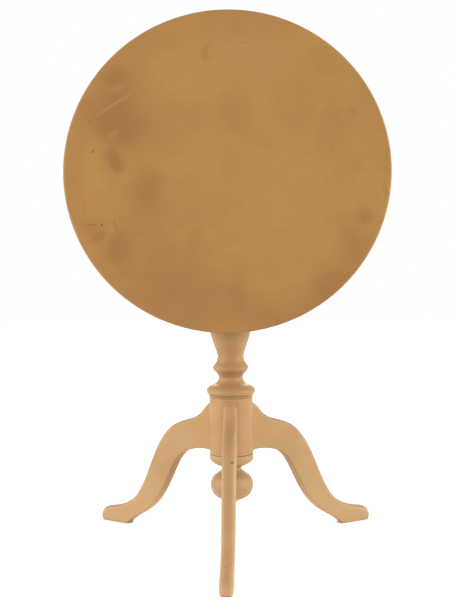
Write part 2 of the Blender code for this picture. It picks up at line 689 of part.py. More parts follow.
def make_battens(hinge, wood, iron):
    high = UNDERSIDE - FIT
    low = high - BATTEN_DEPTH
    tip = high - BATTEN_END
    front = PIVOT_OUT - BATTEN_HALF
    rear = PIVOT_OUT + BATTEN_HALF
    outline = [
        (front, high), (front, tip), (front + BATTEN_TAPER, low),
        (rear - BATTEN_TAPER, low), (rear, tip), (rear, high),
    ]
    length = BATTEN_DEPTH + BATTEN_SCREW_BITE
    mesh = screw(length, BATTEN_SCREW_HEAD)
    spans = {"left": (-BATTEN_OUTER, -BATTEN_INNER), "right": (BATTEN_INNER, BATTEN_OUTER)}
    for side, spots in batten_places().items():
        batten = place(f"batten_{side}", prism("batten", outline, *spans[side]), hinge)
        past = BATTEN_OUTER + CUT_PAST
        bearing = rod("hole", outside(PINTLE_RADIUS, PIN_SIDES), -past, past, PIN_SIDES)
        shape(batten, "DIFFERENCE", swing(bearing, Matrix.Rotation(math.pi / 2, 4, "Y")))
        shape(batten, "DIFFERENCE", screw_holes(spots, math.pi, length, BATTEN_SCREW_HEAD))
        dress(batten, wood)
        for number, spot in enumerate(spots, 1):
            piece = place(f"batten_screw_{side}_{number}", mesh, hinge, spot, (math.pi, 0, 0))
            dress(piece, iron)


# Spring catch, in the hinge's frame, with depths measured down from the underside

def catch_box(name, width, start, end, shallow, deep):
    """A box under the top, from one depth below the underside to another."""
    level = UNDERSIDE - FIT
    return box(name, (-width / 2, start, level - deep), (width / 2, end, level - shallow))


def make_case(hinge, brass):
    case = place(
        "catch_case", catch_box("catch_case", CASE_WIDTH, CASE_START, CASE_END, 0, CASE_HEIGHT), hinge
    )
    ease_edges(case, CASE_EDGE_ROUND)
    flange = catch_box("flange", FLANGE_WIDTH, CASE_START, CASE_END, 0, FLANGE_THICKNESS)
    shape(case, "UNION", flange)
    bore = catch_box(
        "hole", BOLT_WIDTH + 2 * FIT, CASE_START - CUT_PAST, BORE_END, BOLT_DEPTH - FIT,
        BOLT_DEPTH + BOLT_HEIGHT + FIT,
    )
    shape(case, "DIFFERENCE", bore)
    stem_room = STEM_RADIUS + 2 * FIT
    slot = catch_box(
        "hole", 2 * stem_room, KNOB_PLACE - stem_room, KNOB_PLACE + BOLT_TRAVEL + stem_room, BOLT_MIDDLE,
        CASE_HEIGHT + CUT_PAST,
    )
    shape(case, "DIFFERENCE", slot)
    length = FLANGE_THICKNESS + CASE_SCREW_BITE
    shape(case, "DIFFERENCE", screw_holes(case_places(), math.pi, length, CASE_SCREW_HEAD))
    dress(case, brass)
    mesh = screw(length, CASE_SCREW_HEAD)
    for number, spot in enumerate(case_places(), 1):
        piece = place(f"catch_screw_{number}", mesh, hinge, spot, (math.pi, 0, 0))
        dress(piece, brass)


def make_bolt(slide, brass):
    """The bolt, bevelled where it meets the block, and the knob that draws it back."""
    level = UNDERSIDE - FIT
    low = level - BOLT_DEPTH - BOLT_HEIGHT
    high = level - BOLT_DEPTH
    outline = [(BOLT_TIP, high), (BOLT_TIP, low + BOLT_BEVEL), (BOLT_TIP + BOLT_BEVEL, low)]
    outline += [(BOLT_END, low), (BOLT_END, high)]
    bolt = place("catch_bolt", prism("catch_bolt", outline, -BOLT_WIDTH / 2, BOLT_WIDTH / 2), slide)
    hole = rod("hole", outside(STEM_RADIUS, PIN_SIDES), low - CUT_PAST, low + STEM_GRIP + FIT, PIN_SIDES)
    shape(bolt, "DIFFERENCE", swing(hole, Matrix.Translation((0, KNOB_PLACE, 0))))
    dress(bolt, brass)

    neck = level - CASE_HEIGHT - FIT - STEM_RADIUS
    ball = KNOB_HEIGHT - STEM_RADIUS
    centre = (KNOB_RADIUS - ball / 2, neck - ball / 2)
    profile = [(0, low + STEM_GRIP), (STEM_RADIUS, low + STEM_GRIP), (STEM_RADIUS, neck)]
    profile += arc(centre, ball / 2, 90, -90, 2 * EDGE_STEPS) + [(0, neck - ball)]
    knob = place("catch_knob", turned("catch_knob", profile, PIN_SIDES), slide, (0, KNOB_PLACE, 0))
    dress(knob, brass)


def spring_path():
    """Points along the coil, from the bolt's end to the end wall of the case."""
    start = BOLT_END + FIT + SPRING_WIRE
    run = BORE_END - FIT - SPRING_WIRE - start
    count = SPRING_TURNS * SPRING_POINTS
    middle = UNDERSIDE - FIT - BOLT_MIDDLE
    path = []
    for i in range(count + 1):
        angle = 2 * math.pi * i / SPRING_POINTS
        across = SPRING_RADIUS * math.cos(angle)
        up = middle + SPRING_RADIUS * math.sin(angle)
        path.append(Vector((across, start + run * i / count, up)))
    return path


def make_spring(hinge, steel):
    path = spring_path()
    curve = bpy.data.curves.new("catch_spring", "CURVE")
    curve.dimensions = "3D"
    curve.bevel_depth = SPRING_WIRE
    curve.bevel_resolution = 1
    curve.use_fill_caps = True
    spline = curve.splines.new("POLY")
    spline.points.add(len(path) - 1)
    for point, spot in zip(spline.points, path):
        point.co = (*spot, 1.0)
    place("catch_spring", curve, hinge)
    curve.materials.append(steel)
    half_turn = SPRING_POINTS // 2
    apart = [
        (a - b).length
        for i, a in enumerate(path)
        for b in path[i + half_turn:]
    ]
    least = min(apart) - 2 * SPRING_WIRE
    print(f"catch_spring: least gap between turns {least * 1000:.2f} mm")


def main():
    for old in list(bpy.data.objects):
        bpy.data.objects.remove(old, do_unlink=True)
    tan = finish("tan_wood", TAN_WOOD, 0.45)
    ochre = finish("ochre_wood", OCHRE_WOOD, 0.5)
    pale = finish("pale_wood", PALE_WOOD, 0.6)
    brass = finish("brass", BRASS, 0.35, 1.0)
    iron = finish("iron", IRON, 0.5, 1.0)

    leg = leg_mesh()
    setback = column_setback(leg)
    pedestal = frame("pedestal", None, (0, setback, 0))
    hinge = frame("top_hinge", pedestal, (0, -PIVOT_OUT, PIVOT_HEIGHT), (UPRIGHT, 0, 0))
    slide = frame("catch_slide", hinge)

    make_column(pedestal, tan)
    make_wedge(pedestal, pale)
    make_finial(pedestal, tan)
    make_legs(pedestal, leg, tan)
    make_block(pedestal, pale)
    make_pintles(pedestal, tan)
    make_strike(pedestal, brass)
    make_top(hinge, ochre)
    make_battens(hinge, pale, iron)
    make_case(hinge, brass)
    make_bolt(slide, brass)
    make_spring(hinge, iron)
    print(f"column stands {setback * 1000:.3f} mm behind the middle of the plan")
    print(f"hinge axis at y {(setback - PIVOT_OUT) * 1000:.3f} mm, z {PIVOT_HEIGHT * 1000:.3f} mm")


main()
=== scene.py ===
# %% [markdown]
# # A tilt-top pedestal table
# The table stands as it does against a wall: its round top is tipped upright on two wooden pins, and
# a turned column with three S-shaped legs carries it. The solids that carry and join the pieces come
# from the frame. Each step below gives one of them its finished surface, at the place that the frame
# already gives it, and then its wood or metal.

# %% Load the frame
import json
import math

import bmesh
import bpy
from mathutils import Matrix, Vector


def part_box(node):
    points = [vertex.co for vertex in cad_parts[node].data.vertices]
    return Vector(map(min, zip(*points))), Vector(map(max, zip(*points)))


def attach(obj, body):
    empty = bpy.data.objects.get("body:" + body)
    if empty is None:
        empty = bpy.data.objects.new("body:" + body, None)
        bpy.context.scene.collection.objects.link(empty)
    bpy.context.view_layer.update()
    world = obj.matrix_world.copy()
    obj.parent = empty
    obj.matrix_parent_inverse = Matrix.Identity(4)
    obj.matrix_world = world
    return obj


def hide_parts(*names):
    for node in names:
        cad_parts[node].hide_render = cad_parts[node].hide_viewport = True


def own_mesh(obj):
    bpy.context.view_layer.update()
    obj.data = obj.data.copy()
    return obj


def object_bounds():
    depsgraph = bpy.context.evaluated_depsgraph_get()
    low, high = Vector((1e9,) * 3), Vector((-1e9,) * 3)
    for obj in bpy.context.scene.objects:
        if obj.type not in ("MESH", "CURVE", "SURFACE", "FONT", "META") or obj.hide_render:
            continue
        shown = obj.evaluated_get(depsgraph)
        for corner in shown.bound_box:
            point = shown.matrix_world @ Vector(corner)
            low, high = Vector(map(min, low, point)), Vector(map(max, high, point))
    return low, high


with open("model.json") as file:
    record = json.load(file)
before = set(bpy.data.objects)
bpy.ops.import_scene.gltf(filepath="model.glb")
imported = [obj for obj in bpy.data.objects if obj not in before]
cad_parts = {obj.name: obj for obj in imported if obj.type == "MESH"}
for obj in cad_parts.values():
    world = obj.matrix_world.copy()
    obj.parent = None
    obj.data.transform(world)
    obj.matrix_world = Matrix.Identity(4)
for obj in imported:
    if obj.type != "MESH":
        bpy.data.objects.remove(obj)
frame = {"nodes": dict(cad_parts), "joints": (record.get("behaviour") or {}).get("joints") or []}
cad_low, cad_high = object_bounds()
scene = bpy.context.scene
scene.view_settings.view_transform = "Standard"
print(f"frame: {len(frame['nodes'])} nodes, {(cad_high - cad_low)[2] * 1000:.0f} mm high")

# %% [markdown]
# ## The camera
# The photograph was taken with a normal lens from two metres away, a little to the right, with the
# camera at half the table's height and almost level. How high it stood shows in the turned rings: one
# level with the lens looks straight, and the deeper one lies below it, the more its front edge sags.
# The camera's place is written as a distance and a height from the column's axis.

# %% Camera
CAMERA_DISTANCE = 1.9479                    # along the floor, from the column's axis
CAMERA_HEIGHT = 0.5751
CAMERA_SIDE = math.radians(2.102)           # to the right of straight ahead
CAMERA_TURN = math.radians(2.130)           # heading
CAMERA_PITCH = math.radians(2.553)          # down from level
CAMERA_ROLL = math.radians(-0.624)
CAMERA_LENS = 58.17                         # millimetres
CAMERA_SENSOR = 36                          # millimetres, on the picture's long side

column_low, column_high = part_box("column")
AXIS = Vector((0, (column_low.y + column_high.y) / 2, 0))

stand = Vector((math.sin(CAMERA_SIDE), -math.cos(CAMERA_SIDE), 0)) * CAMERA_DISTANCE
aim = Matrix.Rotation(CAMERA_TURN, 4, "Z") @ Matrix.Rotation(math.pi / 2 - CAMERA_PITCH, 4, "X")
aim = aim @ Matrix.Rotation(CAMERA_ROLL, 4, "Z")
bpy.ops.object.select_all(action="DESELECT")
bpy.ops.object.camera_add(location=AXIS + stand + Vector((0, 0, CAMERA_HEIGHT)), rotation=aim.to_euler())
camera = bpy.context.object
camera.data.lens = CAMERA_LENS
camera.data.sensor_width = CAMERA_SENSOR
scene.camera = camera
print(f"camera {CAMERA_DISTANCE:.2f} m away, {CAMERA_LENS:.0f} mm lens")

# %% [markdown]
# ## Helpers for modelling by hand
# An operator works on what is selected, so every step first clears the selection and then picks
# vertices or edges by where they are. Boolean cuts and rounds over whole pieces are modifiers that
# are applied at once, as one would press Apply before going on.


# %% Selecting
def clear_selection():
    """Nothing selected, and object mode."""
    if bpy.context.mode != "OBJECT":
        bpy.ops.object.mode_set(mode="OBJECT")
    bpy.ops.object.select_all(action="DESELECT")


def select_only(piece):
    clear_selection()
    piece.select_set(True)
    bpy.context.view_layer.objects.active = piece


def edit(piece, action="DESELECT"):
    """Open a piece in edit mode with nothing picked, or with all of it."""
    select_only(piece)
    bpy.ops.object.mode_set(mode="EDIT")
    bpy.ops.mesh.select_all(action=action)


def middle_of(edge):
    return (edge.verts[0].co + edge.verts[1].co) / 2


def pick(piece, kind, test):
    """Pick vertices by their place, or edges by their middle and themselves, in edit mode."""
    bpy.ops.mesh.select_mode(type=kind)
    bpy.ops.mesh.select_all(action="DESELECT")
    mesh = bmesh.from_edit_mesh(piece.data)
    if kind == "VERT":
        found = [vertex for vertex in mesh.verts if test(vertex.co)]
    else:
        found = [edge for edge in mesh.edges if test(middle_of(edge), edge)]
    for item in found:
        item.select = True
    mesh.select_flush_mode()
    bmesh.update_edit_mesh(piece.data)


# %% Cutting and rounding
TWIN = 1e-6                 # vertices closer than this are one
NEAR = 1e-5                 # what is closer than this to a plane lies in it


def lies(**planes):
    """A test for what lies in one or more planes, such as z=0."""
    def test(place, edge=None):
        return all(abs(getattr(place, axis) - level) < NEAR for axis, level in planes.items())

    return test


def apply_modifier(piece, modifier):
    bpy.context.view_layer.objects.active = piece
    bpy.ops.object.modifier_apply(modifier=modifier.name)


def heal(piece):
    """Merge vertices that lie on each other, and close a facet that a cut has lost."""
    edit(piece, "SELECT")
    bpy.ops.mesh.remove_doubles(threshold=TWIN)
    bpy.ops.mesh.fill_holes(sides=4)
    clear_selection()


def cut(piece, tool, operation="DIFFERENCE"):
    """Cut a piece with another solid, or join it on, and take the tool away."""
    clear_selection()
    boolean = piece.modifiers.new("cut", "BOOLEAN")
    boolean.operation = operation
    boolean.object = tool
    apply_modifier(piece, boolean)
    bpy.data.objects.remove(tool)
    heal(piece)


def ease(piece, width, segments, angle=40):
    """Round every edge of a piece that is sharper than an angle."""
    clear_selection()
    bevel = piece.modifiers.new("edges", "BEVEL")
    bevel.width = width
    bevel.segments = segments
    bevel.limit_method = "ANGLE"
    bevel.angle_limit = math.radians(angle)
    apply_modifier(piece, bevel)


def bevel_edges(piece, test, width, segments, profile=0.5):
    """Bevel the edges of a piece that pass a test."""
    edit(piece)
    pick(piece, "EDGE", test)
    bpy.ops.mesh.bevel(offset=width, segments=segments, profile=profile, affect="EDGES")
    clear_selection()


def bisect(piece, place, way, **cleared):
    """Cut a piece along a plane."""
    edit(piece, "SELECT")
    bpy.ops.mesh.bisect(plane_co=place, plane_no=way, **cleared)
    clear_selection()


def scale_end(piece, test, value):
    """Scale the vertices of a piece that pass a test about their middle."""
    edit(piece)
    pick(piece, "VERT", test)
    bpy.ops.transform.resize(value=value)
    clear_selection()


# %% Plain solids and finished pieces
ROD_SIDES = 48
CRISP = math.radians(35)    # edges sharper than this stay crisp


def add_box(name, low, high):
    """A cube primitive brought to the size and place of a box."""
    clear_selection()
    low = Vector(low)
    high = Vector(high)
    bpy.ops.mesh.primitive_cube_add(size=1, location=(low + high) / 2)
    piece = bpy.context.object
    piece.name = name
    piece.scale = high - low
    bpy.ops.object.transform_apply()
    return piece


def add_rod(name, radius, start, end, sides=ROD_SIDES):
    """A cylinder primitive between two points."""
    clear_selection()
    start = Vector(start)
    end = Vector(end)
    turn = (end - start).to_track_quat("Z", "Y").to_euler()
    bpy.ops.mesh.primitive_cylinder_add(
        vertices=sides, radius=radius, depth=(end - start).length, location=(start + end) / 2, rotation=turn
    )
    piece = bpy.context.object
    piece.name = name
    bpy.ops.object.transform_apply()
    return piece


def move_to(piece, place, turn=(0, 0, 0)):
    """Put a piece at its place for good."""
    select_only(piece)
    piece.rotation_euler = turn
    piece.location = place
    bpy.ops.object.transform_apply()


def copy_of(piece, name):
    """A copy with its own mesh."""
    select_only(piece)
    bpy.ops.object.duplicate()
    twin = bpy.context.object
    twin.name = name
    return twin


def finish_piece(piece, body, slot, *nodes):
    """Shade a piece, let it ride on its body and stand for its nodes."""
    select_only(piece)
    bpy.ops.object.shade_smooth_by_angle(angle=CRISP)
    weighted = piece.modifiers.new("normals", "WEIGHTED_NORMAL")
    weighted.keep_sharp = True
    apply_modifier(piece, weighted)
    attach(piece, body)
    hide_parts(*nodes)
    print(f"{piece.name}: {len(piece.data.polygons)} faces")


# %% [markdown]
# ## Nodes in short form
# A material is a tree of nodes. Writing each node, its settings and its links takes many lines, so
# one helper adds a node and fills its sockets, and the others wrap what comes up most: arithmetic,
# one coordinate of a place, stretching a value from one range to another, adding up layers, and laying
# one colour over another.


# %% Node helpers
def add(tree, kind, inputs=None, **settings):
    """A shader node with its settings made and its sockets filled or linked."""
    node = tree.nodes.new("ShaderNode" + kind)
    for name, value in settings.items():
        setattr(node, name, value)
    for socket, value in (inputs or {}).items():
        if isinstance(value, bpy.types.NodeSocket):
            tree.links.new(value, node.inputs[socket])
        else:
            node.inputs[socket].default_value = value
    return node


def calc(tree, operation, first, second):
    """One sum on two numbers."""
    return add(tree, "Math", {0: first, 1: second}, operation=operation).outputs[0]


def part_of(tree, place, axis):
    """One coordinate of a place or a direction."""
    return add(tree, "SeparateXYZ", {0: place}).outputs["XYZ".index(axis)]


def stretch(tree, value, low, high, to_low=0.0, to_high=1.0, how="SMOOTHSTEP"):
    """A value stretched from one range to another, and held there."""
    inputs = {"Value": value, "From Min": low, "From Max": high, "To Min": to_low, "To Max": to_high}
    return add(tree, "MapRange", inputs, interpolation_type=how).outputs[0]


def layered(tree, *layers):
    """The sum of some values, each times its weight."""
    total = 0.0
    for value, weight in layers:
        inputs = {0: value, 1: weight, 2: total}
        total = add(tree, "Math", inputs, operation="MULTIPLY_ADD").outputs[0]
    return total


def blend(tree, share, first, second, how="MIX"):
    """Two colours mixed by a share."""
    settings = {"data_type": "RGBA", "blend_type": how}
    return add(tree, "Mix", {0: share, 6: first, 7: second}, **settings).outputs[2]


def lay(tree, colour, tint, share, depth):
    """A tint laid over a colour, as deep as its share times a depth."""
    return blend(tree, calc(tree, "MULTIPLY", share, depth), colour, tint)


def seen_rays(tree):
    """One for rays that show a surface to the eye, straight, mirrored or through glass."""
    rays = add(tree, "LightPath")
    mirrored = calc(tree, "MAXIMUM", rays.outputs["Is Glossy Ray"], rays.outputs["Is Transmission Ray"])
    return calc(tree, "MAXIMUM", rays.outputs["Is Camera Ray"], mirrored)


# %% [markdown]
# ## The studio
# The table was photographed on white paper between two large soft lamps, nearly square to its sides.
# That is why its flat front is darker than the flanks of the column. The white of the paper isn't
# light on the table: the world and the floor are white only for rays that reach the eye, and light
# the wood with a quiet grey otherwise, weaker from above than from all round. The floor keeps its real
# shadow, and an ambient occlusion node paints a contact shadow into its glow where a heel touches.

# %% Studio
WHITE = (1, 1, 1, 1)
FILL_ROUND = 0.53           # light from the horizon
FILL_ABOVE = 0.16
FLOOR_BOUNCE = 0.90
PAPER_GLOW = 0.70           # share of the floor's white that no shadow dims
GLOW_FADE = (0.4, 1.1)      # distances from the middle between which shadows end
PAPER = 0.60
# reach of the painted contact shadow that dims the floor's glow round each foot
CONTACT = 0.010             # how close to the floor a foot darkens it
CONTACT_FADE = (0.10, 0.65)     # shares of open sky between which that ends
CONTACT_SAMPLES = 24
FLOOR_SIZE = 14
LAMP_SIZE = 2.4
LAMPS = {                   # place and watts
    "lamp_left": ((-3.0, -0.9, 1.1), 80),
    "lamp_right": ((3.0, -0.9, 1.1), 75),
    "lamp_back": ((0.0, 3.4, 1.9), 60),
}


def add_lamp(name, place, power):
    """A soft square lamp that faces the middle of the table."""
    clear_selection()
    bpy.ops.object.light_add(type="AREA", location=place)
    lamp = bpy.context.object
    lamp.name = name
    middle = Vector((0, 0, cad_high.z / 2))
    lamp.rotation_euler = (middle - lamp.location).to_track_quat("-Z", "Y").to_euler()
    lamp.data.size = LAMP_SIZE
    lamp.data.energy = power
    lamp.visible_camera = False


def white_world():
    world = bpy.data.worlds.new("studio")
    world.use_nodes = True
    tree = world.node_tree
    tree.nodes.clear()
    rise = part_of(tree, add(tree, "TexCoord").outputs["Generated"], "Z")
    level = stretch(tree, rise, 0.0, 1.0, FILL_ROUND, FILL_ABOVE, "LINEAR")
    fill = add(tree, "Background", {"Color": WHITE, "Strength": level})
    paper = add(tree, "Background", {"Color": WHITE, "Strength": 1})
    both = add(tree, "MixShader", {0: seen_rays(tree), 1: fill.outputs[0], 2: paper.outputs[0]})
    add(tree, "OutputWorld", {0: both.outputs[0]})
    return world


def white_floor():
    material = bpy.data.materials.new("paper_floor")
    material.use_nodes = True
    tree = material.node_tree
    tree.nodes.clear()
    away = add(tree, "VectorMath", {0: add(tree, "TexCoord").outputs["Object"]}, operation="LENGTH")
    fade = stretch(tree, away.outputs["Value"], *GLOW_FADE, PAPER_GLOW, 1.0)
    # painted contact shadow: ambient occlusion dims the floor's glow close to a foot
    near = add(tree, "AmbientOcclusion", {"Distance": CONTACT}, samples=CONTACT_SAMPLES)
    glow = calc(tree, "MULTIPLY", stretch(tree, near.outputs["AO"], *CONTACT_FADE), fade)
    shine = add(tree, "Emission", {"Color": WHITE, "Strength": glow})
    paper = add(tree, "BsdfDiffuse", {"Color": (PAPER, PAPER, PAPER, 1)})
    lit = add(tree, "AddShader", {0: shine.outputs[0], 1: paper.outputs[0]})
    bounce = add(tree, "BsdfDiffuse", {"Color": (FLOOR_BOUNCE, FLOOR_BOUNCE, FLOOR_BOUNCE, 1)})
    both = add(tree, "MixShader", {0: seen_rays(tree), 1: bounce.outputs[0], 2: lit.outputs[0]})
    add(tree, "OutputMaterial", {0: both.outputs[0]})
    return material


scene.world = white_world()
clear_selection()
bpy.ops.mesh.primitive_plane_add(size=FLOOR_SIZE, location=(0, 0, 0))
floor = bpy.context.object
floor.name = "studio_floor"
floor.data.materials.append(white_floor())
for name, (place, power) in LAMPS.items():
    add_lamp(name, place, power)
print(f"studio: white floor and {len(LAMPS)} soft lamps")

# %% [markdown]
# ## Turned pieces
# The column and the drop below it come off a lathe. A lathe's work is a profile swung about an axis:
# here the profile is a Bezier curve, whose knots are either smooth, as where the gouge swept round,
# or corners, as where the skew chisel cut in. The curve is made a mesh line and spun.

# %% Lathe
SMOOTH = "AUTO"
CORNER = "VECTOR"
PROFILE_STEPS = 5           # short edges between two knots
LATHE_SIDES = 96


def draw_line(name, knots, closed=False):
    """A mesh line through (x, z, kind) knots in the plane y = 0."""
    clear_selection()
    bpy.ops.curve.primitive_bezier_curve_add(location=(0, 0, 0))
    line = bpy.context.object
    line.name = name
    line.data.resolution_u = PROFILE_STEPS
    spline = line.data.splines[0]
    spline.bezier_points.add(len(knots) - len(spline.bezier_points))
    spline.use_cyclic_u = closed
    for point, (x, z, kind) in zip(spline.bezier_points, knots):
        point.co = (x, 0, z)
        point.handle_left_type = kind
        point.handle_right_type = kind
    bpy.ops.object.convert(target="MESH")
    return bpy.context.object


def turn_on_lathe(name, knots, sides=LATHE_SIDES):
    """A profile spun about Z into a closed solid."""
    piece = draw_line(name, knots)
    edit(piece, "SELECT")
    bpy.ops.mesh.spin(steps=sides, angle=2 * math.pi, center=(0, 0, 0), axis=(0, 0, 1), use_auto_merge=True)
    bpy.ops.mesh.select_all(action="SELECT")
    bpy.ops.mesh.remove_doubles(threshold=TWIN)
    bpy.ops.mesh.normals_make_consistent(inside=False)
    clear_selection()
    return piece


def knots_at(kind, pairs):
    """Knots of one kind from (radius, height) pairs."""
    return [(radius, height, kind) for radius, height in pairs]


# %% [markdown]
# ## The column
# One turned baluster: a plain cylinder that the legs are let into, two scribed lines, a rounded
# collar, a deep neck, a ring, and the vase that disappears behind the top. Above that, out of sight
# in the photograph, it narrows to the tenon that is wedged in the block. Heights are counted from the
# legs' upper ends, because the eye reads the turning from there.

# %% Column
COLUMN_RADIUS = 0.0440
TENON_RADIUS = 0.018
HEAD_RADIUS = 0.0365        # under the block
SCRIBED_LINES = ((0.0, 0.0126), (0.0010, 0.0168))   # how far the wood stands out there, and height
SCRIBED_HALF = 0.0006
SCRIBED_DEPTH = 0.0007
JOINT_CHAMFER = 0.0006
DOWEL_RADIUS = 0.011        # of the dowel on the finial, which the column is bored for
FIT = 0.0003                # gap between pieces that touch

leg_low, leg_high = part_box("leg_front")
block_low, block_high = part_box("tilt_block")
finial_low, finial_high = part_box("finial")
LEG_TOP = leg_high.z


def scribed(radius, height, depth, way):
    """A line cut into a turning, read upwards or downwards."""
    half = way * SCRIBED_HALF
    return knots_at(CORNER, [(radius, height - half), (radius - depth, height), (radius, height + half)])


def column_knots():
    """The column's profile from the bore in its foot to the middle of its tenon."""
    foot = column_low.z
    bore = DOWEL_RADIUS + FIT
    bore_end = finial_high.z + FIT
    shoulder = block_low.z - FIT
    collar = (
        (0.0020, 0.0178), (0.0040, 0.0198), (0.0050, 0.0235), (0.0047, 0.0275), (0.0018, 0.0314),
        (-0.0029, 0.0355),
    )
    neck = (
        (0.0316, 0.0396), (0.0273, 0.0436), (0.0244, 0.0512), (0.0258, 0.0558), (0.0287, 0.0599),
        (0.0329, 0.0643),
    )
    ring_edges = ((0.0354, 0.0682), (0.0364, 0.0702))
    vase = (
        (0.0361, 0.0724), (0.0338, 0.0761), (0.0285, 0.0842), (0.0265, 0.0930), (0.0278, 0.1010),
        (0.0316, 0.1126), (0.0371, 0.1288), (0.0404, 0.1410), (0.0430, 0.1610), (0.0400, 0.1790),
        (0.0335, 0.1890), (0.0300, 0.1920), (0.0335, 0.1970), (0.0310, 0.2040), (0.0262, 0.2130),
    )
    head = ((0.0238, 0.0400), (0.0270, 0.0240), (0.0340, 0.0130), (HEAD_RADIUS, 0.0070))
    knots = knots_at(CORNER, [
        (0, bore_end), (bore, bore_end), (bore, foot),
        (COLUMN_RADIUS - JOINT_CHAMFER, foot), (COLUMN_RADIUS, foot + JOINT_CHAMFER),
    ])
    for stand_out, rise in SCRIBED_LINES:
        knots += scribed(COLUMN_RADIUS + stand_out, LEG_TOP + rise, SCRIBED_DEPTH, 1)
    knots += [(COLUMN_RADIUS + stand_out, LEG_TOP + rise, SMOOTH) for stand_out, rise in collar]
    for kind, section in ((SMOOTH, neck), (CORNER, ring_edges), (SMOOTH, vase)):
        knots += [(radius, LEG_TOP + rise, kind) for radius, rise in section]
    knots += [(radius, shoulder - drop, SMOOTH) for radius, drop in head]
    return knots + knots_at(CORNER, [
        (HEAD_RADIUS, shoulder), (TENON_RADIUS, shoulder), (TENON_RADIUS, column_high.z), (0, column_high.z),
    ])


column = turn_on_lathe("column_turning", column_knots())
move_to(column, AXIS)
print(f"column: {column_high.z - column_low.z:.3f} m long, sockets still to cut")

# %% [markdown]
# ## The drop finial
# A separate turning closes the column from below and hides the legs' dovetails. The fine dark line
# near the foot of the cylinder is its joint, with a dowel above it. Below it come a bead, a thin
# neck, a ball with one scribed line, and a small tip.

# %% Finial
BALL_LINE = 0.0648          # how far below the joint the ball is scribed
BALL_RADIUS = 0.0430


def finial_knots():
    """The finial's profile from the head of its dowel to its tip."""
    top = column_low.z - FIT
    head = finial_high.z
    bead = ((-0.0003, 0.0085), (0.0009, 0.0125), (0.0040, 0.0166), (0.0103, 0.0207), (0.0200, 0.0248))
    ball = ((0.0194, 0.0308), (0.0250, 0.0372), (0.0358, 0.0453), (0.0413, 0.0535), (0.0428, 0.0600))
    below = ((0.0412, 0.0740), (0.0370, 0.0822), (0.0261, 0.0904))
    tip = ((0.0158, 0.0945), (0.0104, 0.0986), (0.0076, 0.1050), (0.0045, 0.1110))
    knots = knots_at(CORNER, [
        (0, head), (DOWEL_RADIUS - JOINT_CHAMFER, head), (DOWEL_RADIUS, head - JOINT_CHAMFER),
        (DOWEL_RADIUS, top), (COLUMN_RADIUS - JOINT_CHAMFER, top), (COLUMN_RADIUS, top - JOINT_CHAMFER),
    ])
    knots += [(COLUMN_RADIUS - draw_in, top - drop, SMOOTH) for draw_in, drop in bead]
    knots += [(radius, top - drop, SMOOTH) for radius, drop in ball]
    knots += scribed(BALL_RADIUS, top - BALL_LINE, SCRIBED_DEPTH / 2, -1)
    knots += [(radius, top - drop, SMOOTH) for radius, drop in below + tip]
    return knots + [(0, finial_low.z, CORNER)]


finial = turn_on_lathe("drop_finial", finial_knots())
move_to(finial, AXIS)
finish_piece(finial, "base", "base_wood", "finial")

# %% [markdown]
# ## Legs
# Each leg is sawn from a plank along an S-shaped pattern. Someone at a bench would saw the outline,
# round the upper edges with a spokeshave, leave the lower edges almost crisp and round the toe's
# corners. The same order works here: draw the outline, give it the plank's thickness, weigh each
# edge by how far it is rounded, and let one Bevel modifier do all of them.

# %% Leg outline
LEG_REACH = AXIS.y - leg_low.y
LEG_THICKNESS = 0.0265      # at the column
LEG_TOE_THICKNESS = 0.0238
LEG_SEAT_FOOT = 0.183
LEG_RUN = LEG_REACH - COLUMN_RADIUS             # from the column's side to the toe
TOE_SHARE = 0.991           # where the sole ends, as a share of the run
HEEL_SHARE = 0.758
SOLE_SHARES = (0.972, 0.950, 0.924, 0.890)      # where the round of the sole's edges changes
SEAT_RUN = 0.008            # how far the outline runs into the column before it is coped


def leg_knots():
    """The leg's outline, pointing along X: back, sole, underside."""
    back = (
        (0.034, 0.971), (0.089, 0.909), (0.137, 0.876), (0.206, 0.852), (0.282, 0.824), (0.351, 0.783),
        (0.406, 0.725), (0.461, 0.643), (0.516, 0.531), (0.570, 0.406), (0.625, 0.298), (0.680, 0.220),
        (0.742, 0.174), (0.818, 0.138), (0.900, 0.117), (0.955, 0.103), (0.986, 0.075), (1.0, 0.036),
    )
    under = (
        (0.708, 0.043), (0.660, 0.073), (0.598, 0.112), (0.536, 0.161), (0.481, 0.220), (0.426, 0.302),
        (0.378, 0.393), (0.337, 0.475), (0.296, 0.546), (0.254, 0.593), (0.206, 0.622), (0.151, 0.639),
        (0.089, 0.650),
    )
    inside = COLUMN_RADIUS - SEAT_RUN

    def at(out, up, kind=SMOOTH):
        return COLUMN_RADIUS + out * LEG_RUN, up * LEG_TOP, kind

    knots = [(inside, LEG_TOP, CORNER), at(0, 1, CORNER)]
    knots += [at(out, up) for out, up in back]
    knots += [at(out, 0, CORNER) for out in (TOE_SHARE, *SOLE_SHARES, HEEL_SHARE)]
    knots += [at(out, up) for out, up in under]
    return knots + [(COLUMN_RADIUS, LEG_SEAT_FOOT, CORNER), (inside, LEG_SEAT_FOOT, CORNER)]


# %% Rounds of a leg
COLUMN_ROUND = 0.0066       # of the upper edges, at the column
TOE_ROUND = 0.0080
UNDER_ROUND = 0.0015
SOLE_ROUND = 0.0074         # of the sole's edges, at the toe
TIP_ROUND = 0.0028          # of the edge between toe and sole
UPPER_WALL = 0.25           # a wall whose normal's X and Z add up to more is an upper one
SEAT_WALL = -0.99           # a wall whose normal's X is below this faces the column
FLAT_SIDE = 0.5             # a face whose normal's Y is larger is a flat side


def outline_wall(edge):
    """The narrow wall beside an edge of the outline, or nothing for other edges."""
    walls = [face for face in edge.link_faces if abs(face.normal.y) < FLAT_SIDE]
    return walls[0] if len(walls) == 1 else None


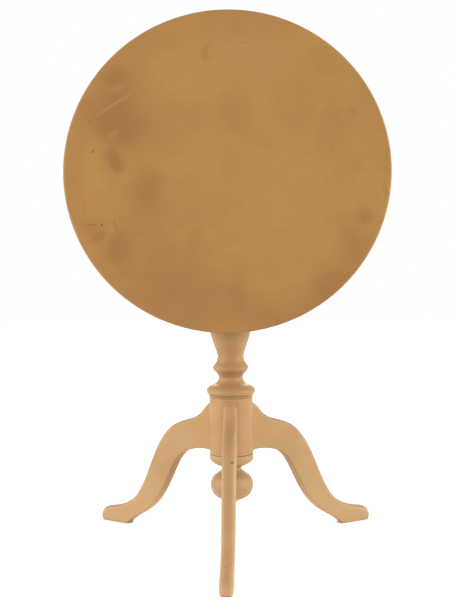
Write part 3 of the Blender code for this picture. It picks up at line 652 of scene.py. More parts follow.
def edge_round(place, way):
    """How far an edge of the outline is rounded, from its place and its wall's normal."""
    share = (place.x - COLUMN_RADIUS) / LEG_RUN
    if way.x + way.z > UPPER_WALL:
        return COLUMN_ROUND + (TOE_ROUND - COLUMN_ROUND) * max(share, 0) ** 2
    tip = max(0, (share - SOLE_SHARES[-1]) / (TOE_SHARE - SOLE_SHARES[-1]))
    return UNDER_ROUND + (SOLE_ROUND - UNDER_ROUND) * tip


def weigh_edges(leg):
    """Weigh each edge of the outline by its round, as a share of the widest one."""
    mesh = bmesh.from_edit_mesh(leg.data)
    mesh.normal_update()
    weight = mesh.edges.layers.float.new("bevel_weight_edge")
    toe = COLUMN_RADIUS + TOE_SHARE * LEG_RUN
    count = 0
    for edge in mesh.edges:
        wall = outline_wall(edge)
        middle = middle_of(edge)
        if wall and wall.normal.x > SEAT_WALL:
            edge[weight] = edge_round(middle, wall.normal) / TOE_ROUND
            count += 1
        elif abs(middle.y) < NEAR and middle.z < NEAR and middle.x > toe - 10 * NEAR:
            edge[weight] = TIP_ROUND / TOE_ROUND
            count += 1
    bmesh.update_edit_mesh(leg.data)
    return count


# %% [markdown]
# ## Joint of leg and column
# Legs like these slide up into the column on dovetails, which is why they hold without a nail. The
# tongue is a box that is cut across and then flared at its tip. With a small gap all round, the same
# shape is the tool for the socket. The end of the leg is coped to the column with a rod.

# %% Dovetail
SEAT_GAP = 0.0002
TONGUE_DEPTH = 0.016
TONGUE_ROOT = 0.012
TONGUE_FLARE = 0.018
TONGUE_OVERLAP = 0.006
TONGUE_DROP = 0.006


def add_dovetail(gap, foot, top):
    """The tongue of a leg that points along X, or with a gap the socket for it."""
    tip = COLUMN_RADIUS - TONGUE_DEPTH - gap
    root = COLUMN_RADIUS - TONGUE_DEPTH / 4
    half = TONGUE_ROOT / 2 + gap
    tongue = add_box("dovetail", (tip, -half, foot), (COLUMN_RADIUS + TONGUE_OVERLAP, half, top))
    bisect(tongue, (root, 0, 0), (1, 0, 0))
    scale_end(tongue, lies(x=tip), (1, (TONGUE_FLARE / 2 + gap) / half, 1))
    return tongue


# %% One leg
LEG_ROUND_STEPS = 6
COPE_TOP = 0.5              # upper end of the rod that copes a leg


def plane_sides(leg):
    """Plane a leg thinner towards its toe: each flat side swings in about its line at the column."""
    swing = math.atan2((LEG_THICKNESS - LEG_TOE_THICKNESS) / 2, LEG_RUN)
    half = LEG_THICKNESS / 2
    for side in (-1, 1):
        pick(leg, "VERT", lies(y=side * half))
        bpy.ops.transform.rotate(
            value=side * swing, orient_axis="Z", center_override=(COLUMN_RADIUS, side * half, 0)
        )


def saw_leg():
    leg = draw_line("leg", leg_knots(), closed=True)
    edit(leg, "SELECT")
    bpy.ops.mesh.edge_face_add()
    bpy.ops.mesh.extrude_region_move(TRANSFORM_OT_translate={"value": (0, LEG_THICKNESS, 0)})
    bpy.ops.mesh.select_all(action="SELECT")
    bpy.ops.transform.translate(value=(0, -LEG_THICKNESS / 2, 0))
    bpy.ops.mesh.normals_make_consistent(inside=False)
    plane_sides(leg)
    print(f"leg outline: {weigh_edges(leg)} edges to round")
    clear_selection()
    bevel = leg.modifiers.new("edges", "BEVEL")
    bevel.width = TOE_ROUND
    bevel.segments = LEG_ROUND_STEPS
    bevel.limit_method = "WEIGHT"
    bevel.use_clamp_overlap = False
    apply_modifier(leg, bevel)
    cut(leg, add_rod("cope", COLUMN_RADIUS + SEAT_GAP, (0, 0, 0), (0, 0, COPE_TOP), LATHE_SIDES))
    cut(leg, add_dovetail(0, column_low.z + SEAT_GAP, LEG_TOP - TONGUE_DROP), "UNION")
    return leg


# %% Three legs in their sockets
LEG_HEADINGS = {"leg_front": -90, "leg_right": 30, "leg_left": 150}

pattern_leg = saw_leg()
legs = {}
for node, heading in LEG_HEADINGS.items():
    turn = (0, 0, math.radians(heading))
    socket = add_dovetail(SEAT_GAP, column_low.z - SEAT_RUN, LEG_TOP - TONGUE_DROP + SEAT_GAP)
    move_to(socket, AXIS, turn)
    cut(column, socket)
    legs[node] = copy_of(pattern_leg, f"sawn_{node}")
    move_to(legs[node], AXIS, turn)
    finish_piece(legs[node], "base", "base_wood", node)
bpy.data.objects.remove(pattern_leg)

# %% [markdown]
# ## The round top
# The top is one flat disc, too wide for a single plank, so it is glued up from three boards whose
# joints the stain hides on the face. Old boards shrink across the grain and hardly along it, so the
# disc is no longer quite round: it is wider than it is high. It is made once, with a small round on
# the face's edge and a chamfer below, and then parted with two bisecting planes. Each board keeps its
# own mesh, and its joint edges are broken a little on the underside, where one would see them.

# %% Disc
boards_low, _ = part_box("top_board_1")
_, boards_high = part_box("top_board_3")
FACE_Y = boards_low.y
UNDER_Y = boards_high.y
TOP_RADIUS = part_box("top_board_2")[1].x
TOP_RISE = (boards_high.z - boards_low.z) / 2       # half its height, less than the radius
TOP_MIDDLE = Vector((0, (FACE_Y + UNDER_Y) / 2, (boards_high.z + boards_low.z) / 2))
TOP_SIDES = 192
FACE_ROUND = 0.0040
FACE_STEPS = 5
UNDER_CHAMFER = 0.0050
UNDER_STEPS = 2
UNDER_PROFILE = 0.35        # between a flat chamfer and a round
JOINT_BREAK = 0.0007        # chamfer along a joint, underneath


def add_disc():
    disc = add_rod("disc", TOP_RADIUS, (0, FACE_Y, TOP_MIDDLE.z), (0, UNDER_Y, TOP_MIDDLE.z), TOP_SIDES)
    edit(disc, "SELECT")
    bpy.ops.transform.resize(value=(1, 1, TOP_RISE / TOP_RADIUS), center_override=TOP_MIDDLE)
    bevel_edges(disc, lies(y=FACE_Y), FACE_ROUND, FACE_STEPS)
    bevel_edges(disc, lies(y=UNDER_Y), UNDER_CHAMFER, UNDER_STEPS, UNDER_PROFILE)
    return disc


def part_at(board, height, keep_above):
    """Part a board along a level plane, keep one side, close it and break its lower edge."""
    cleared = {"clear_inner": keep_above, "clear_outer": not keep_above}
    bisect(board, (0, 0, height), (0, 0, 1), use_fill=True, **cleared)
    bevel_edges(board, lies(y=UNDER_Y, z=height), JOINT_BREAK, 1)


# %% Boards
BOARD_WIDTH = 2 * TOP_RISE / 3

disc = add_disc()
lower_joint = TOP_MIDDLE.z - BOARD_WIDTH / 2
upper_joint = TOP_MIDDLE.z + BOARD_WIDTH / 2
boards = [copy_of(disc, f"board_{place}") for place in ("lower", "middle", "upper")]
part_at(boards[0], lower_joint, keep_above=False)
part_at(boards[1], lower_joint, keep_above=True)
part_at(boards[1], upper_joint, keep_above=False)
part_at(boards[2], upper_joint, keep_above=True)
bpy.data.objects.remove(disc)
print(f"boards: {len(boards)}, each {BOARD_WIDTH * 1000:.0f} mm wide, screw holes still to drill")

# %% [markdown]
# ## The block, its pins and the wedge
# Behind the upright top sits the square block that the level top rests on. Its front edge is rounded
# about the pins, so the top can swing past it. A cube with one edge bevelled into a quarter round
# gives just that. The column's tenon comes up through it and is spread by a wedge, and two wooden
# pins stand out of its sides into the battens.

# %% Block
hinge = next(joint for joint in frame["joints"] if joint["name"] == "top_tilt")
PIVOT = Vector(hinge["pos_m"])
NOSE_STEPS = 12
BLOCK_CHAMFER = 0.0050
BLOCK_EASE = 0.0008
PIN_RADIUS = 0.007
PIN_GRIP = 0.030
PAST = 0.002                # how far a cutting tool stands out of the wood


def add_block():
    block = add_box("tilting_block", block_low, block_high)
    bevel_edges(block, lies(y=block_low.y, z=block_high.z), PIVOT.y - block_low.y, NOSE_STEPS)
    bevel_edges(block, lies(x=0, z=block_low.z), BLOCK_CHAMFER, 1)
    ease(block, BLOCK_EASE, 2)
    mortise_low = AXIS + Vector((0, 0, block_low.z - PAST))
    mortise_high = AXIS + Vector((0, 0, block_high.z + PAST))
    cut(block, add_rod("mortise", TENON_RADIUS + FIT, mortise_low, mortise_high, LATHE_SIDES))
    for side in (-1, 1):
        inner = Vector((side * (block_high.x - PIN_GRIP - FIT), PIVOT.y, PIVOT.z))
        outer = Vector((side * (block_high.x + PAST), PIVOT.y, PIVOT.z))
        cut(block, add_rod("socket", PIN_RADIUS + FIT, inner, outer))
    return block


block = add_block()

# %% Pins
PIN_CHAMFER = 0.0010


def turn_pin(node, side):
    """A pin turned along Z and laid along X."""
    low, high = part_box(node)
    inner = min(abs(low.x), abs(high.x))
    outer = max(abs(low.x), abs(high.x))
    rounded = PIN_RADIUS - PIN_CHAMFER
    pin = turn_on_lathe(f"turned_{node}", knots_at(CORNER, [
        (0, inner), (rounded, inner), (PIN_RADIUS, inner + PIN_CHAMFER),
        (PIN_RADIUS, outer - PIN_CHAMFER), (rounded, outer), (0, outer),
    ]), ROD_SIDES)
    move_to(pin, PIVOT, (0, side * math.pi / 2, 0))
    finish_piece(pin, "base", "base_wood", node)
    return pin


pins = [turn_pin("pintle_left", -1), turn_pin("pintle_right", 1)]

# %% Wedge in the tenon
WEDGE_THIN_SHARE = 0.4      # thickness of its point against its head
SLIT_THIN_SHARE = 0.5
WEDGE_EASE = 0.0003

wedge_low, wedge_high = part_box("tenon_wedge")
wedge = add_box("driven_wedge", wedge_low, wedge_high)
scale_end(wedge, lies(z=wedge_low.z), (WEDGE_THIN_SHARE, 1, 1))
ease(wedge, WEDGE_EASE, 2)
slit_low = Vector((wedge_low.x - FIT, AXIS.y - 2 * TENON_RADIUS, wedge_low.z - FIT))
slit_high = Vector((wedge_high.x + FIT, AXIS.y + 2 * TENON_RADIUS, wedge_high.z + PAST))
slit = add_box("slit", slit_low, slit_high)
scale_end(slit, lies(z=slit_low.z), (SLIT_THIN_SHARE, 1, 1))
cut(column, slit)
finish_piece(wedge, "base", "block_wood", "tenon_wedge")
finish_piece(column, "base", "base_wood", "column")

# %% [markdown]
# ## Screws
# Slotted wood screws hold the battens, the catch and its plate. One is turned per size, with a
# slightly domed head and a slot sawn across it. Copies are turned to different angles, because
# nobody leaves all the slots in line.

# %% Screw
SHANK_SHARE = 0.5           # of the head's radius, as all shares here
SLOT_SHARE = 0.28
SLOT_DEPTH_SHARE = 0.42
CONE_SHARE = 0.75           # depth of the head
RIM_SHARE = 0.14            # depth of the head's rim
SCREW_EASE_SHARE = 0.03
SCREW_SIDES = 40
PILOT_SIDES = 24
SLOT_SPREAD = 0.4           # radians by which the slots' angles drift apart
BACK = Vector((0, 1, 0))


def turn_screw(head, length):
    """A slotted screw with the middle of its head just under the origin, point down."""
    shank = head * SHANK_SHARE
    knots = knots_at(CORNER, [
        (0, -length), (shank / 2, -length + shank / 2), (shank, -length + 2 * shank),
        (shank, -head * CONE_SHARE), (head * 0.96, -head * RIM_SHARE), (head, -head * 0.06),
    ])
    knots += knots_at(SMOOTH, [(head * 0.94, -head * 0.02), (head * 0.5, 0), (0, 0)])
    screw = turn_on_lathe("screw", knots, SCREW_SIDES)
    half = head * SLOT_SHARE / 2
    slot_low = (-2 * head, -half, -head * SLOT_DEPTH_SHARE)
    cut(screw, add_box("slot", slot_low, (2 * head, half, head)))
    ease(screw, head * SCREW_EASE_SHARE, 1)
    return screw


def bore(piece, head, start, tip, sides):
    """A straight hole for a screw's shank."""
    cut(piece, add_rod("hole", head * SHANK_SHARE + FIT, start, tip, sides))


def drill(piece, places, head, length):
    """Countersunk holes for screws whose heads face back, at places on a surface."""
    for place in places:
        bore(piece, head, place + PAST * BACK, place - (length + FIT) * BACK, SCREW_SIDES)
        sink = turn_on_lathe("sink", knots_at(CORNER, [
            (0, -head * 0.9), (head * SHANK_SHARE, -head * 0.8), (head + FIT, -head * RIM_SHARE),
            (head + FIT, PAST), (0, PAST),
        ]), SCREW_SIDES)
        move_to(sink, place, (-math.pi / 2, 0, 0))
        cut(piece, sink)


def drill_boards(places, head, length):
    """Pilot holes in the boards for screws that come from behind."""
    for place in places:
        start = Vector((place.x, UNDER_Y + PAST, place.z))
        for board in boards:
            bore(board, head, start, place - (length + FIT) * BACK, PILOT_SIDES)


def drive(screw, nodes, places, body, slot, slant):
    """Copies of a screw at their places, heads facing back, each slot at an angle of its own."""
    driven = []
    for number, (node, place) in enumerate(zip(nodes, places)):
        copy = copy_of(screw, f"slotted_{node}")
        move_to(copy, place, (-math.pi / 2, slant * (number + 1) + SLOT_SPREAD * number**2, 0))
        finish_piece(copy, body, slot, node)
        driven.append(copy)
    bpy.data.objects.remove(screw)
    return driven


def fasten(pieces, nodes, head, body, slot, slant):
    """Drill pieces, and the boards for what rides on the top, and drive in a row of screws."""
    boxes = [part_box(node) for node in nodes]
    places = [Vector(((low.x + high.x) / 2, high.y, (low.z + high.z) / 2)) for low, high in boxes]
    length = boxes[0][1].y - boxes[0][0].y
    for piece in pieces:
        drill(piece, places, head, length)
    if body == "top":
        drill_boards(places, head, length)
    return drive(turn_screw(head, length), nodes, places, body, slot, slant)


# %% [markdown]
# ## Battens
# Two bars across the boards keep the top flat and carry the pins. Their ends slope down towards the
# rim, so that nobody's knees meet a square corner. Each is a cube with two corners cut off by
# bisecting planes, then eased, drilled for the pin and countersunk for its screws.

# %% Battens and their screws
BATTEN_EASE = 0.0015
BATTEN_TAPER = 0.035
BATTEN_TIP = 0.014
BATTEN_HEAD = 0.0045
BLUNT = 25                  # degrees, so that the edges of a slope are eased too


def add_batten(node):
    low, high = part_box(node)
    batten = add_box(f"planed_{node}", low, high)
    rise = (high.y - low.y) - BATTEN_TIP
    for end, way in ((low.z, -1), (high.z, 1)):
        bisect(
            batten, (0, low.y + BATTEN_TIP, end), (0, BATTEN_TAPER, way * rise),
            use_fill=True, clear_outer=True,
        )
    ease(batten, BATTEN_EASE, 3, BLUNT)
    start = Vector((low.x - PAST, PIVOT.y, PIVOT.z))
    end = start + Vector((high.x - low.x + 2 * PAST, 0, 0))
    cut(batten, add_rod("bearing", PIN_RADIUS + FIT, start, end))
    return batten


battens = {}
batten_screws = []
for side, slant in (("left", 0.5), ("right", 1.1)):
    node = f"batten_{side}"
    names = [f"batten_screw_{side}_{number}" for number in (1, 2, 3)]
    battens[side] = add_batten(node)
    batten_screws += fasten([battens[side]], names, BATTEN_HEAD, "top", "iron", slant)
    finish_piece(battens[side], "top", "block_wood", node)

# %% [markdown]
# ## The spring catch
# A small brass case on the underside holds a bolt that snaps under the plate in the block when the
# top comes down. The case is a rounded box on a thin flange. The bolt runs in a bore through it, its
# knob in a slot, and a coil spring behind it pushes it out.

# %% Case
CASE_WIDTH = 0.022
CASE_ROUND = 0.0030
CASE_STEPS = 5
CASE_HEAD = 0.0034
CASE_END_WALL = 0.004
FLANGE_THICK = 0.003
FLANGE_CORNER = 0.004
FLANGE_ROUND = 0.0005
CORNER_STEPS = 6
SLOT_END_SHARE = 0.9        # how round the slot's ends are
UPRIGHT = 0.9               # an edge whose direction's Y is larger runs through the plate
STEM_RADIUS = 0.002
BOLT_TRAVEL = 0.010
CASE_SCREWS = [f"catch_screw_{number}" for number in (1, 2, 3, 4)]

case_low, case_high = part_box("catch_case")
bolt_low, bolt_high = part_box("catch_bolt")
knob_low, knob_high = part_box("catch_knob")
KNOB_Z = (knob_low.z + knob_high.z) / 2
BOLT_Y = (bolt_low.y + bolt_high.y) / 2


def round_corners(plate, radius):
    """Round a plate's four corners, as seen from behind."""
    def corner(middle, edge):
        return abs((edge.verts[0].co - edge.verts[1].co).normalized().y) > UPRIGHT

    bevel_edges(plate, corner, radius, CORNER_STEPS)


def add_case():
    half = CASE_WIDTH / 2
    case = add_box("catch_housing", (-half, case_low.y, case_low.z), (half, case_high.y, case_high.z))
    bevel_edges(case, lambda middle, edge: middle.y > case_low.y + NEAR, CASE_ROUND, CASE_STEPS)
    flange_back = case_low.y + FLANGE_THICK
    flange = add_box("flange", case_low, (case_high.x, flange_back, case_high.z))
    round_corners(flange, FLANGE_CORNER)
    bevel_edges(flange, lies(y=flange_back), FLANGE_ROUND, 2)
    cut(case, flange, "UNION")
    bore_low = (bolt_low.x - FIT, bolt_low.y - FIT, case_low.z - PAST)
    bore_high = (bolt_high.x + FIT, bolt_high.y + FIT, case_high.z - CASE_END_WALL)
    cut(case, add_box("bore", bore_low, bore_high))
    room = STEM_RADIUS + 2 * FIT
    slot_high = (room, case_high.y + PAST, KNOB_Z + BOLT_TRAVEL + room)
    slot = add_box("slot", (-room, BOLT_Y, KNOB_Z - room), slot_high)
    round_corners(slot, room * SLOT_END_SHARE)
    cut(case, slot)
    return case


case = add_case()
case_screws = fasten([case], CASE_SCREWS, CASE_HEAD, "top", "brass", 0.8)
finish_piece(case, "top", "brass", "catch_case")
for number, board in enumerate(boards, 1):
    finish_piece(board, "top", "top_wood", f"top_board_{number}")

# %% Bolt and knob
BOLT_BEVEL = 0.006
BOLT_EASE = 0.0004
STEM_GRIP = 0.004
BALL_LENGTH = 0.009         # of the knob
# The knob's ball in shares of its radius and its length
BALL_SHARES = ((0.55, 0.06), (0.92, 0.28), (1, 0.52), (0.84, 0.80), (0.45, 0.97), (0, 1))


def add_bolt():
    bolt = add_box("sliding_bolt", bolt_low, bolt_high)
    bevel_edges(bolt, lies(y=bolt_high.y, z=bolt_low.z), BOLT_BEVEL, 1)
    ease(bolt, BOLT_EASE, 2, BLUNT)
    start = Vector((0, bolt_high.y + PAST, KNOB_Z))
    tip = Vector((0, bolt_high.y - STEM_GRIP - FIT, KNOB_Z))
    cut(bolt, add_rod("hole", STEM_RADIUS + FIT, start, tip, PILOT_SIDES))
    return bolt


def turn_knob():
    """The knob, turned with its stem down and its ball up, then laid to face back."""
    radius = (knob_high.x - knob_low.x) / 2
    neck = knob_high.y - knob_low.y - BALL_LENGTH
    knots = knots_at(CORNER, [(0, 0), (STEM_RADIUS, 0), (STEM_RADIUS, neck)])
    knots += [(radius * out, neck + BALL_LENGTH * up, SMOOTH) for out, up in BALL_SHARES]
    knob = turn_on_lathe("turned_knob", knots, ROD_SIDES)
    move_to(knob, (0, knob_low.y, KNOB_Z), (-math.pi / 2, 0, 0))
    return knob


bolt = add_bolt()
finish_piece(bolt, "catch", "brass", "catch_bolt")
knob = turn_knob()
finish_piece(knob, "catch", "brass", "catch_knob")

# %% Spring
SPRING_TURNS = 7
SPRING_STEPS = 28           # per turn
SPRING_WIRE = 0.00045
WIRE_SIDES = 12

spring_low, spring_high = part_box("catch_spring")


def wind_spring():
    """A ring of wire swept into a coil by the Screw modifier, with its two ends closed."""
    clear_selection()
    radius = (spring_high.x - spring_low.x) / 2 - SPRING_WIRE
    run = spring_high.z - spring_low.z - 2 * SPRING_WIRE
    bpy.ops.mesh.primitive_circle_add(
        vertices=WIRE_SIDES, radius=SPRING_WIRE, location=(radius, 0, 0), rotation=(math.pi / 2, 0, 0)
    )
    spring = bpy.context.object
    spring.name = "coil_spring"
    bpy.ops.object.transform_apply()
    coil = spring.modifiers.new("coil", "SCREW")
    coil.axis = "Z"
    coil.screw_offset = run / SPRING_TURNS
    coil.iterations = SPRING_TURNS
    coil.steps = SPRING_STEPS
    coil.render_steps = SPRING_STEPS
    coil.use_merge_vertices = False
    apply_modifier(spring, coil)
    edit(spring)
    bpy.ops.mesh.select_mode(type="EDGE")
    bpy.ops.mesh.select_non_manifold()
    bpy.ops.mesh.edge_face_add()
    bpy.ops.mesh.select_all(action="SELECT")
    bpy.ops.mesh.normals_make_consistent(inside=False)
    move_to(spring, (0, BOLT_Y, spring_low.z + SPRING_WIRE))
    return spring


spring = wind_spring()
finish_piece(spring, "top", "iron", "catch_spring")
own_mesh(spring)

# %% [markdown]
# ## The strike plate
# A small brass plate is let into the block's rear face, with a window for the bolt. It is a thin
# box with its corners rounded and the window cut through it, over a pocket in the wood.

# %% Strike plate
PLATE_CORNER = 0.002
PLATE_EASE = 0.0002
PLATE_HEAD = 0.0028
PLATE_SCREWS = ["strike_screw_left", "strike_screw_right"]
WINDOW_PLAY = 0.0008
POCKET_DEPTH = 0.0088

plate_low, plate_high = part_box("strike_plate")
plate_middle = (plate_low + plate_high) / 2
plate = add_box("catch_plate", plate_low, plate_high)
round_corners(plate, PLATE_CORNER)
ease(plate, PLATE_EASE, 1)
half_window = Vector((bolt_high.x + WINDOW_PLAY, 0, (bolt_high.y - bolt_low.y) / 2 + WINDOW_PLAY))
window_low = plate_middle - half_window
window_high = plate_middle + half_window
window_low.y = plate_low.y - PAST
window_high.y = plate_high.y + PAST
cut(plate, add_box("window", window_low, window_high))
recess_gap = Vector((FIT, FIT, FIT))
cut(block, add_box("recess", plate_low - recess_gap, plate_high + recess_gap + PAST * BACK))
window_low.y = plate_high.y - POCKET_DEPTH
cut(block, add_box("pocket", window_low, window_high))
plate_screws = fasten([plate, block], PLATE_SCREWS, PLATE_HEAD, "base", "brass", 0.3)
finish_piece(plate, "base", "brass", "strike_plate")
finish_piece(block, "base", "block_wood", "tilt_block")

# %% [markdown]
# ## Wood
# Wood is made of fibres that run one way, of yearly rings round a heart that may lie outside the
# piece, and of slow stains. All three are noise, stretched by different amounts along the grain. A
# Mapping node of the Texture type lays its own axes into the wood: its X runs along the grain, so
# the same recipe serves the upright column, each slanted leg and the level boards. The fibres also
# drive a faint bump, and the stains the polish.

# %% Wood recipe
LEVEL_GRAIN = (0, 0, 0)     # along X
UPRIGHT_GRAIN = (0, -math.pi / 2, 0)
RING_STEP = math.pi / 10    # between the Wave node's rings at a scale of one


def new_material(name):
    """A material with its tree, its shader and the piece's own coordinates."""
    material = bpy.data.materials.new(name)
    material.use_nodes = True
    tree = material.node_tree
    place = add(tree, "TexCoord").outputs["Object"]
    return material, tree, tree.nodes["Principled BSDF"], place


def set_surface(tree, shader, colour, rough, shine=0.5):
    """Link a colour and a roughness, and say how strongly the surface mirrors."""
    tree.links.new(colour, shader.inputs["Base Color"])
    tree.links.new(rough, shader.inputs["Roughness"])
    shader.inputs["Specular IOR Level"].default_value = shine


def set_relief(tree, shader, height, depth, strength):
    """A small bump for the shader."""
    bump = add(tree, "Bump", {"Height": height, "Distance": depth, "Strength": strength})
    tree.links.new(bump.outputs[0], shader.inputs["Normal"])


def noise(tree, place, size, detail, stretch_by=(1, 1, 1), rough=0.5):
    """Noise whose grains are about one over size wide, stretched along each axis."""
    scaled = add(tree, "Mapping", {"Vector": place, "Scale": stretch_by}).outputs[0]
    inputs = {"Vector": scaled, "Scale": size, "Detail": detail, "Roughness": rough}
    return add(tree, "TexNoise", inputs).outputs[0]


def grain_axes(tree, place, heart, turn):
    """Coordinates with X along the grain and the heart of the tree at the origin."""
    inputs = {"Vector": place, "Location": heart, "Rotation": turn}
    return add(tree, "Mapping", inputs, vector_type="TEXTURE").outputs[0]


def rings(tree, axes, spacing, wobble):
    """Yearly rings about the grain's own axis."""
    inputs = {
        "Vector": axes, "Scale": RING_STEP / spacing, "Distortion": wobble,
        "Detail": 2.0, "Detail Scale": 0.35, "Detail Roughness": 0.5,
    }
    wave = add(tree, "TexWave", inputs, wave_type="RINGS", rings_direction="X", wave_profile="SIN")
    return wave.outputs["Fac"]


def fibres(tree, axes, long, fine):
    """Fine streaks along the grain."""
    return noise(tree, axes, 1.0, 5.0, (long, fine, fine), 0.6)


def band(tree, value, middle, half, soft):
    """One inside a narrow band of a value, fading out over a soft margin."""
    away = add(tree, "Math", {0: calc(tree, "SUBTRACT", value, middle)}, operation="ABSOLUTE").outputs[0]
    return stretch(tree, away, half, half + soft, 1.0, 0.0)


def lay_bands(tree, colour, value, bands):
    """Soft bands of a value laid over a colour, each in its own tint."""
    for middle, half, soft, depth, tint in bands:
        colour = lay(tree, colour, tint, band(tree, value, middle, half, soft), depth)
    return colour


def spot(tree, place, middle, size, slant=0.0, core=0.0):
    """One in the middle of a small ellipsoid, fading to nothing at its rim; a slant turns it about Y."""
    inputs = {"Vector": place, "Location": middle, "Rotation": (0, math.radians(slant), 0), "Scale": size}
    local = add(tree, "Mapping", inputs, vector_type="TEXTURE").outputs[0]
    away = add(tree, "VectorMath", {0: local}, operation="LENGTH").outputs["Value"]
    return stretch(tree, away, core, 1.0, 1.0, 0.0)


def dress(piece, material):
    """Give a piece a material in place of any it had."""
    piece.data.materials.clear()
    piece.data.materials.append(material)


# %% [markdown]
# ## Tan wood of the base
# The column and the legs are a pale, tan hardwood under thin satin varnish. The grain is quiet. Belts
# of painted shade darken the neck, the vase under the top's lower edge and the top of the finial's ball.
# The scribed lines are painted dark, as painted shade with uneven dirt, more at the front than behind.

# %% Base wood
TAN_PALE = (0.590, 0.350, 0.150, 1)
TAN_DEEP = (0.455, 0.245, 0.088, 1)
TAN_GOLD = (0.545, 0.325, 0.105, 1)
# tint of the dark lines: painted shade and dirt in the grooves, and the finial's joint
GROOVE_BROWN = (0.240, 0.095, 0.030, 1)
# tint of the painted shade in the neck, under the top and on the ball's top
PAINTED_SHADE_BROWN = (0.300, 0.145, 0.050, 1)
COLUMN_TONE = (0.92, 0.89, 0.85, 1)
FINIAL_TONE = (0.96, 0.98, 1.05, 1)
# Dark lines: height and depth. The first two are painted shade and dirt in the scribed lines, the
# third is dirt on the plain cylinder, and the last is the finial's joint.
DARK_LINES = (
    (LEG_TOP + SCRIBED_LINES[0][1], 0.50), (LEG_TOP + SCRIBED_LINES[1][1], 0.50),
    (LEG_TOP + 0.0066, 0.25), (column_low.z, 0.65),
)
# Belts of painted shade: middle, half height, soft margin, depth and tint
COLUMN_PAINTED_SHADES = (
    (LEG_TOP + 0.0590, 0.004, 0.009, 0.38, PAINTED_SHADE_BROWN), (LEG_TOP + 0.170, 0.025, 0.026, 0.50, PAINTED_SHADE_BROWN),
    (column_low.z - 0.036, 0.004, 0.012, 0.28, PAINTED_SHADE_BROWN),
)


def tan_wood(name, heart, turn, overlay=None, tone=WHITE):
    """Base wood with its grain turned to suit the piece, an optional tone, and an optional overlay of marks
    and painted light.
    """
    material, tree, shader, place = new_material(name)
    axes = grain_axes(tree, place, heart, turn)
    fine = fibres(tree, axes, 6.0, 260.0)
    slow = noise(tree, place, 9.0, 3.0)
    warm = noise(tree, place, 4.3, 1.0)
    share = layered(
        tree, (stretch(tree, fine, 0.30, 0.70), 0.16), (rings(tree, axes, 0.0065, 5.0), 0.03),
        (stretch(tree, slow, 0.35, 0.70), 0.42),
    )
    colour = blend(tree, share, TAN_PALE, TAN_DEEP)
    colour = lay(tree, colour, TAN_GOLD, stretch(tree, warm, 0.45, 0.70), 0.6)
    colour = blend(tree, 1.0, colour, tone, "MULTIPLY")
    if overlay:
        colour = overlay(tree, place, colour, slow)
    set_surface(tree, shader, colour, stretch(tree, slow, 0.25, 0.75, 0.36, 0.52), 0.38)
    set_relief(tree, shader, fine, 0.0004, 0.22)
    return material


def column_shade_and_dirt(tree, place, colour, slow):
    """Painted shade in the scribed lines, laid unevenly and deeper at the front, a dark line at the finial's
    joint, and belts of painted shade.
    """
    height = part_of(tree, place, "Z")
    # the lines are painted darker towards the front than behind, as painted shade
    front = stretch(tree, part_of(tree, place, "Y"), AXIS.y - COLUMN_RADIUS, AXIS.y, 1.0, 0.45)
    uneven = stretch(tree, noise(tree, place, 38.0, 2.0), 0.35, 0.60, 0.35, 1.0)
    uneven = calc(tree, "MULTIPLY", uneven, front)
    for line, depth in DARK_LINES:
        line_darkening = calc(tree, "MULTIPLY", band(tree, height, line, SCRIBED_HALF, SCRIBED_HALF), uneven)
        colour = lay(tree, colour, GROOVE_BROWN, line_darkening, depth)
    # belts of painted shade
    return lay_bands(tree, colour, height, COLUMN_PAINTED_SHADES)


heart = AXIS + Vector((0.018, 0.012, 0))
dress(column, tan_wood("tan_wood_column", heart, UPRIGHT_GRAIN, column_shade_and_dirt, COLUMN_TONE))
heart = AXIS + Vector((-0.015, 0.020, 0))
dress(finial, tan_wood("tan_wood_finial", heart, UPRIGHT_GRAIN, column_shade_and_dirt, FINIAL_TONE))
heart = PIVOT + Vector((0, 0.02, 0.01))
for number, pin in enumerate(pins):
    dress(pin, tan_wood(f"tan_wood_pin_{number}", heart, LEVEL_GRAIN))

# %% [markdown]
# ## Wear and painted light on the legs
# The toes are rubbed pale by shoes and mops, and the same pale near the floor paints the light that
# the white floor throws up. On the side legs, what faces up is painted darker and greyer and what faces
# down darker and warmer, as painted shade. The front leg has a reddish streak with painted shade down
# its middle between two painted highlights along its arrises, pale spots of painted light high up and
# at its toe's end, a dark knot, and two nicks above its toe.

# %% Legs
LEG_SLOPE = math.radians(38)
# pale of rubbed toes, and painted light: from the floor near it, and high on the front leg
PALE_WEAR_AND_LIGHT = (0.680, 0.418, 0.208, 1)
# the pale toe is rubbed wear together with painted light thrown up from the floor
TOE_FADE = (0.03, 0.14)     # heights over which the rubbed toe ends
KNOT_BROWN = (0.110, 0.048, 0.018, 1)
# painted highlight on the front toe's end
TOE_END_HIGHLIGHT = (0.740, 0.455, 0.240, 1)
# reddish streak, darker in the front leg's middle as painted shade
RED_STREAK_AND_SHADE = (0.560, 0.300, 0.145, 1)
# painted highlight along the front leg's arrises
ARRIS_HIGHLIGHT = (0.660, 0.385, 0.165, 1)
# painted shade, darker and greyer, where a side leg faces up
UPWARD_SHADE = (0.76, 0.83, 0.97, 1)
# painted shade, darker and warmer, where a side leg faces down
DOWNWARD_WARM_SHADE = (1.0, 0.92, 0.76, 1)
GOLDEN_MIDDLE = AXIS + Vector((0, 0, 0.235))
GOLDEN_REACH = 0.15
# Bands along the front leg, a reddish streak with painted shade down its middle and painted highlights
# along its arrises: middle across it, half width, soft margin, depth and tint
FRONT_SHADE_AND_HIGHLIGHTS = (
    (0.0025, 0.0025, 0.0065, 0.45, RED_STREAK_AND_SHADE), (-0.0060, 0.0015, 0.0035, 0.45, ARRIS_HIGHLIGHT),
    (0.0070, 0.0015, 0.0035, 0.45, ARRIS_HIGHLIGHT),
)
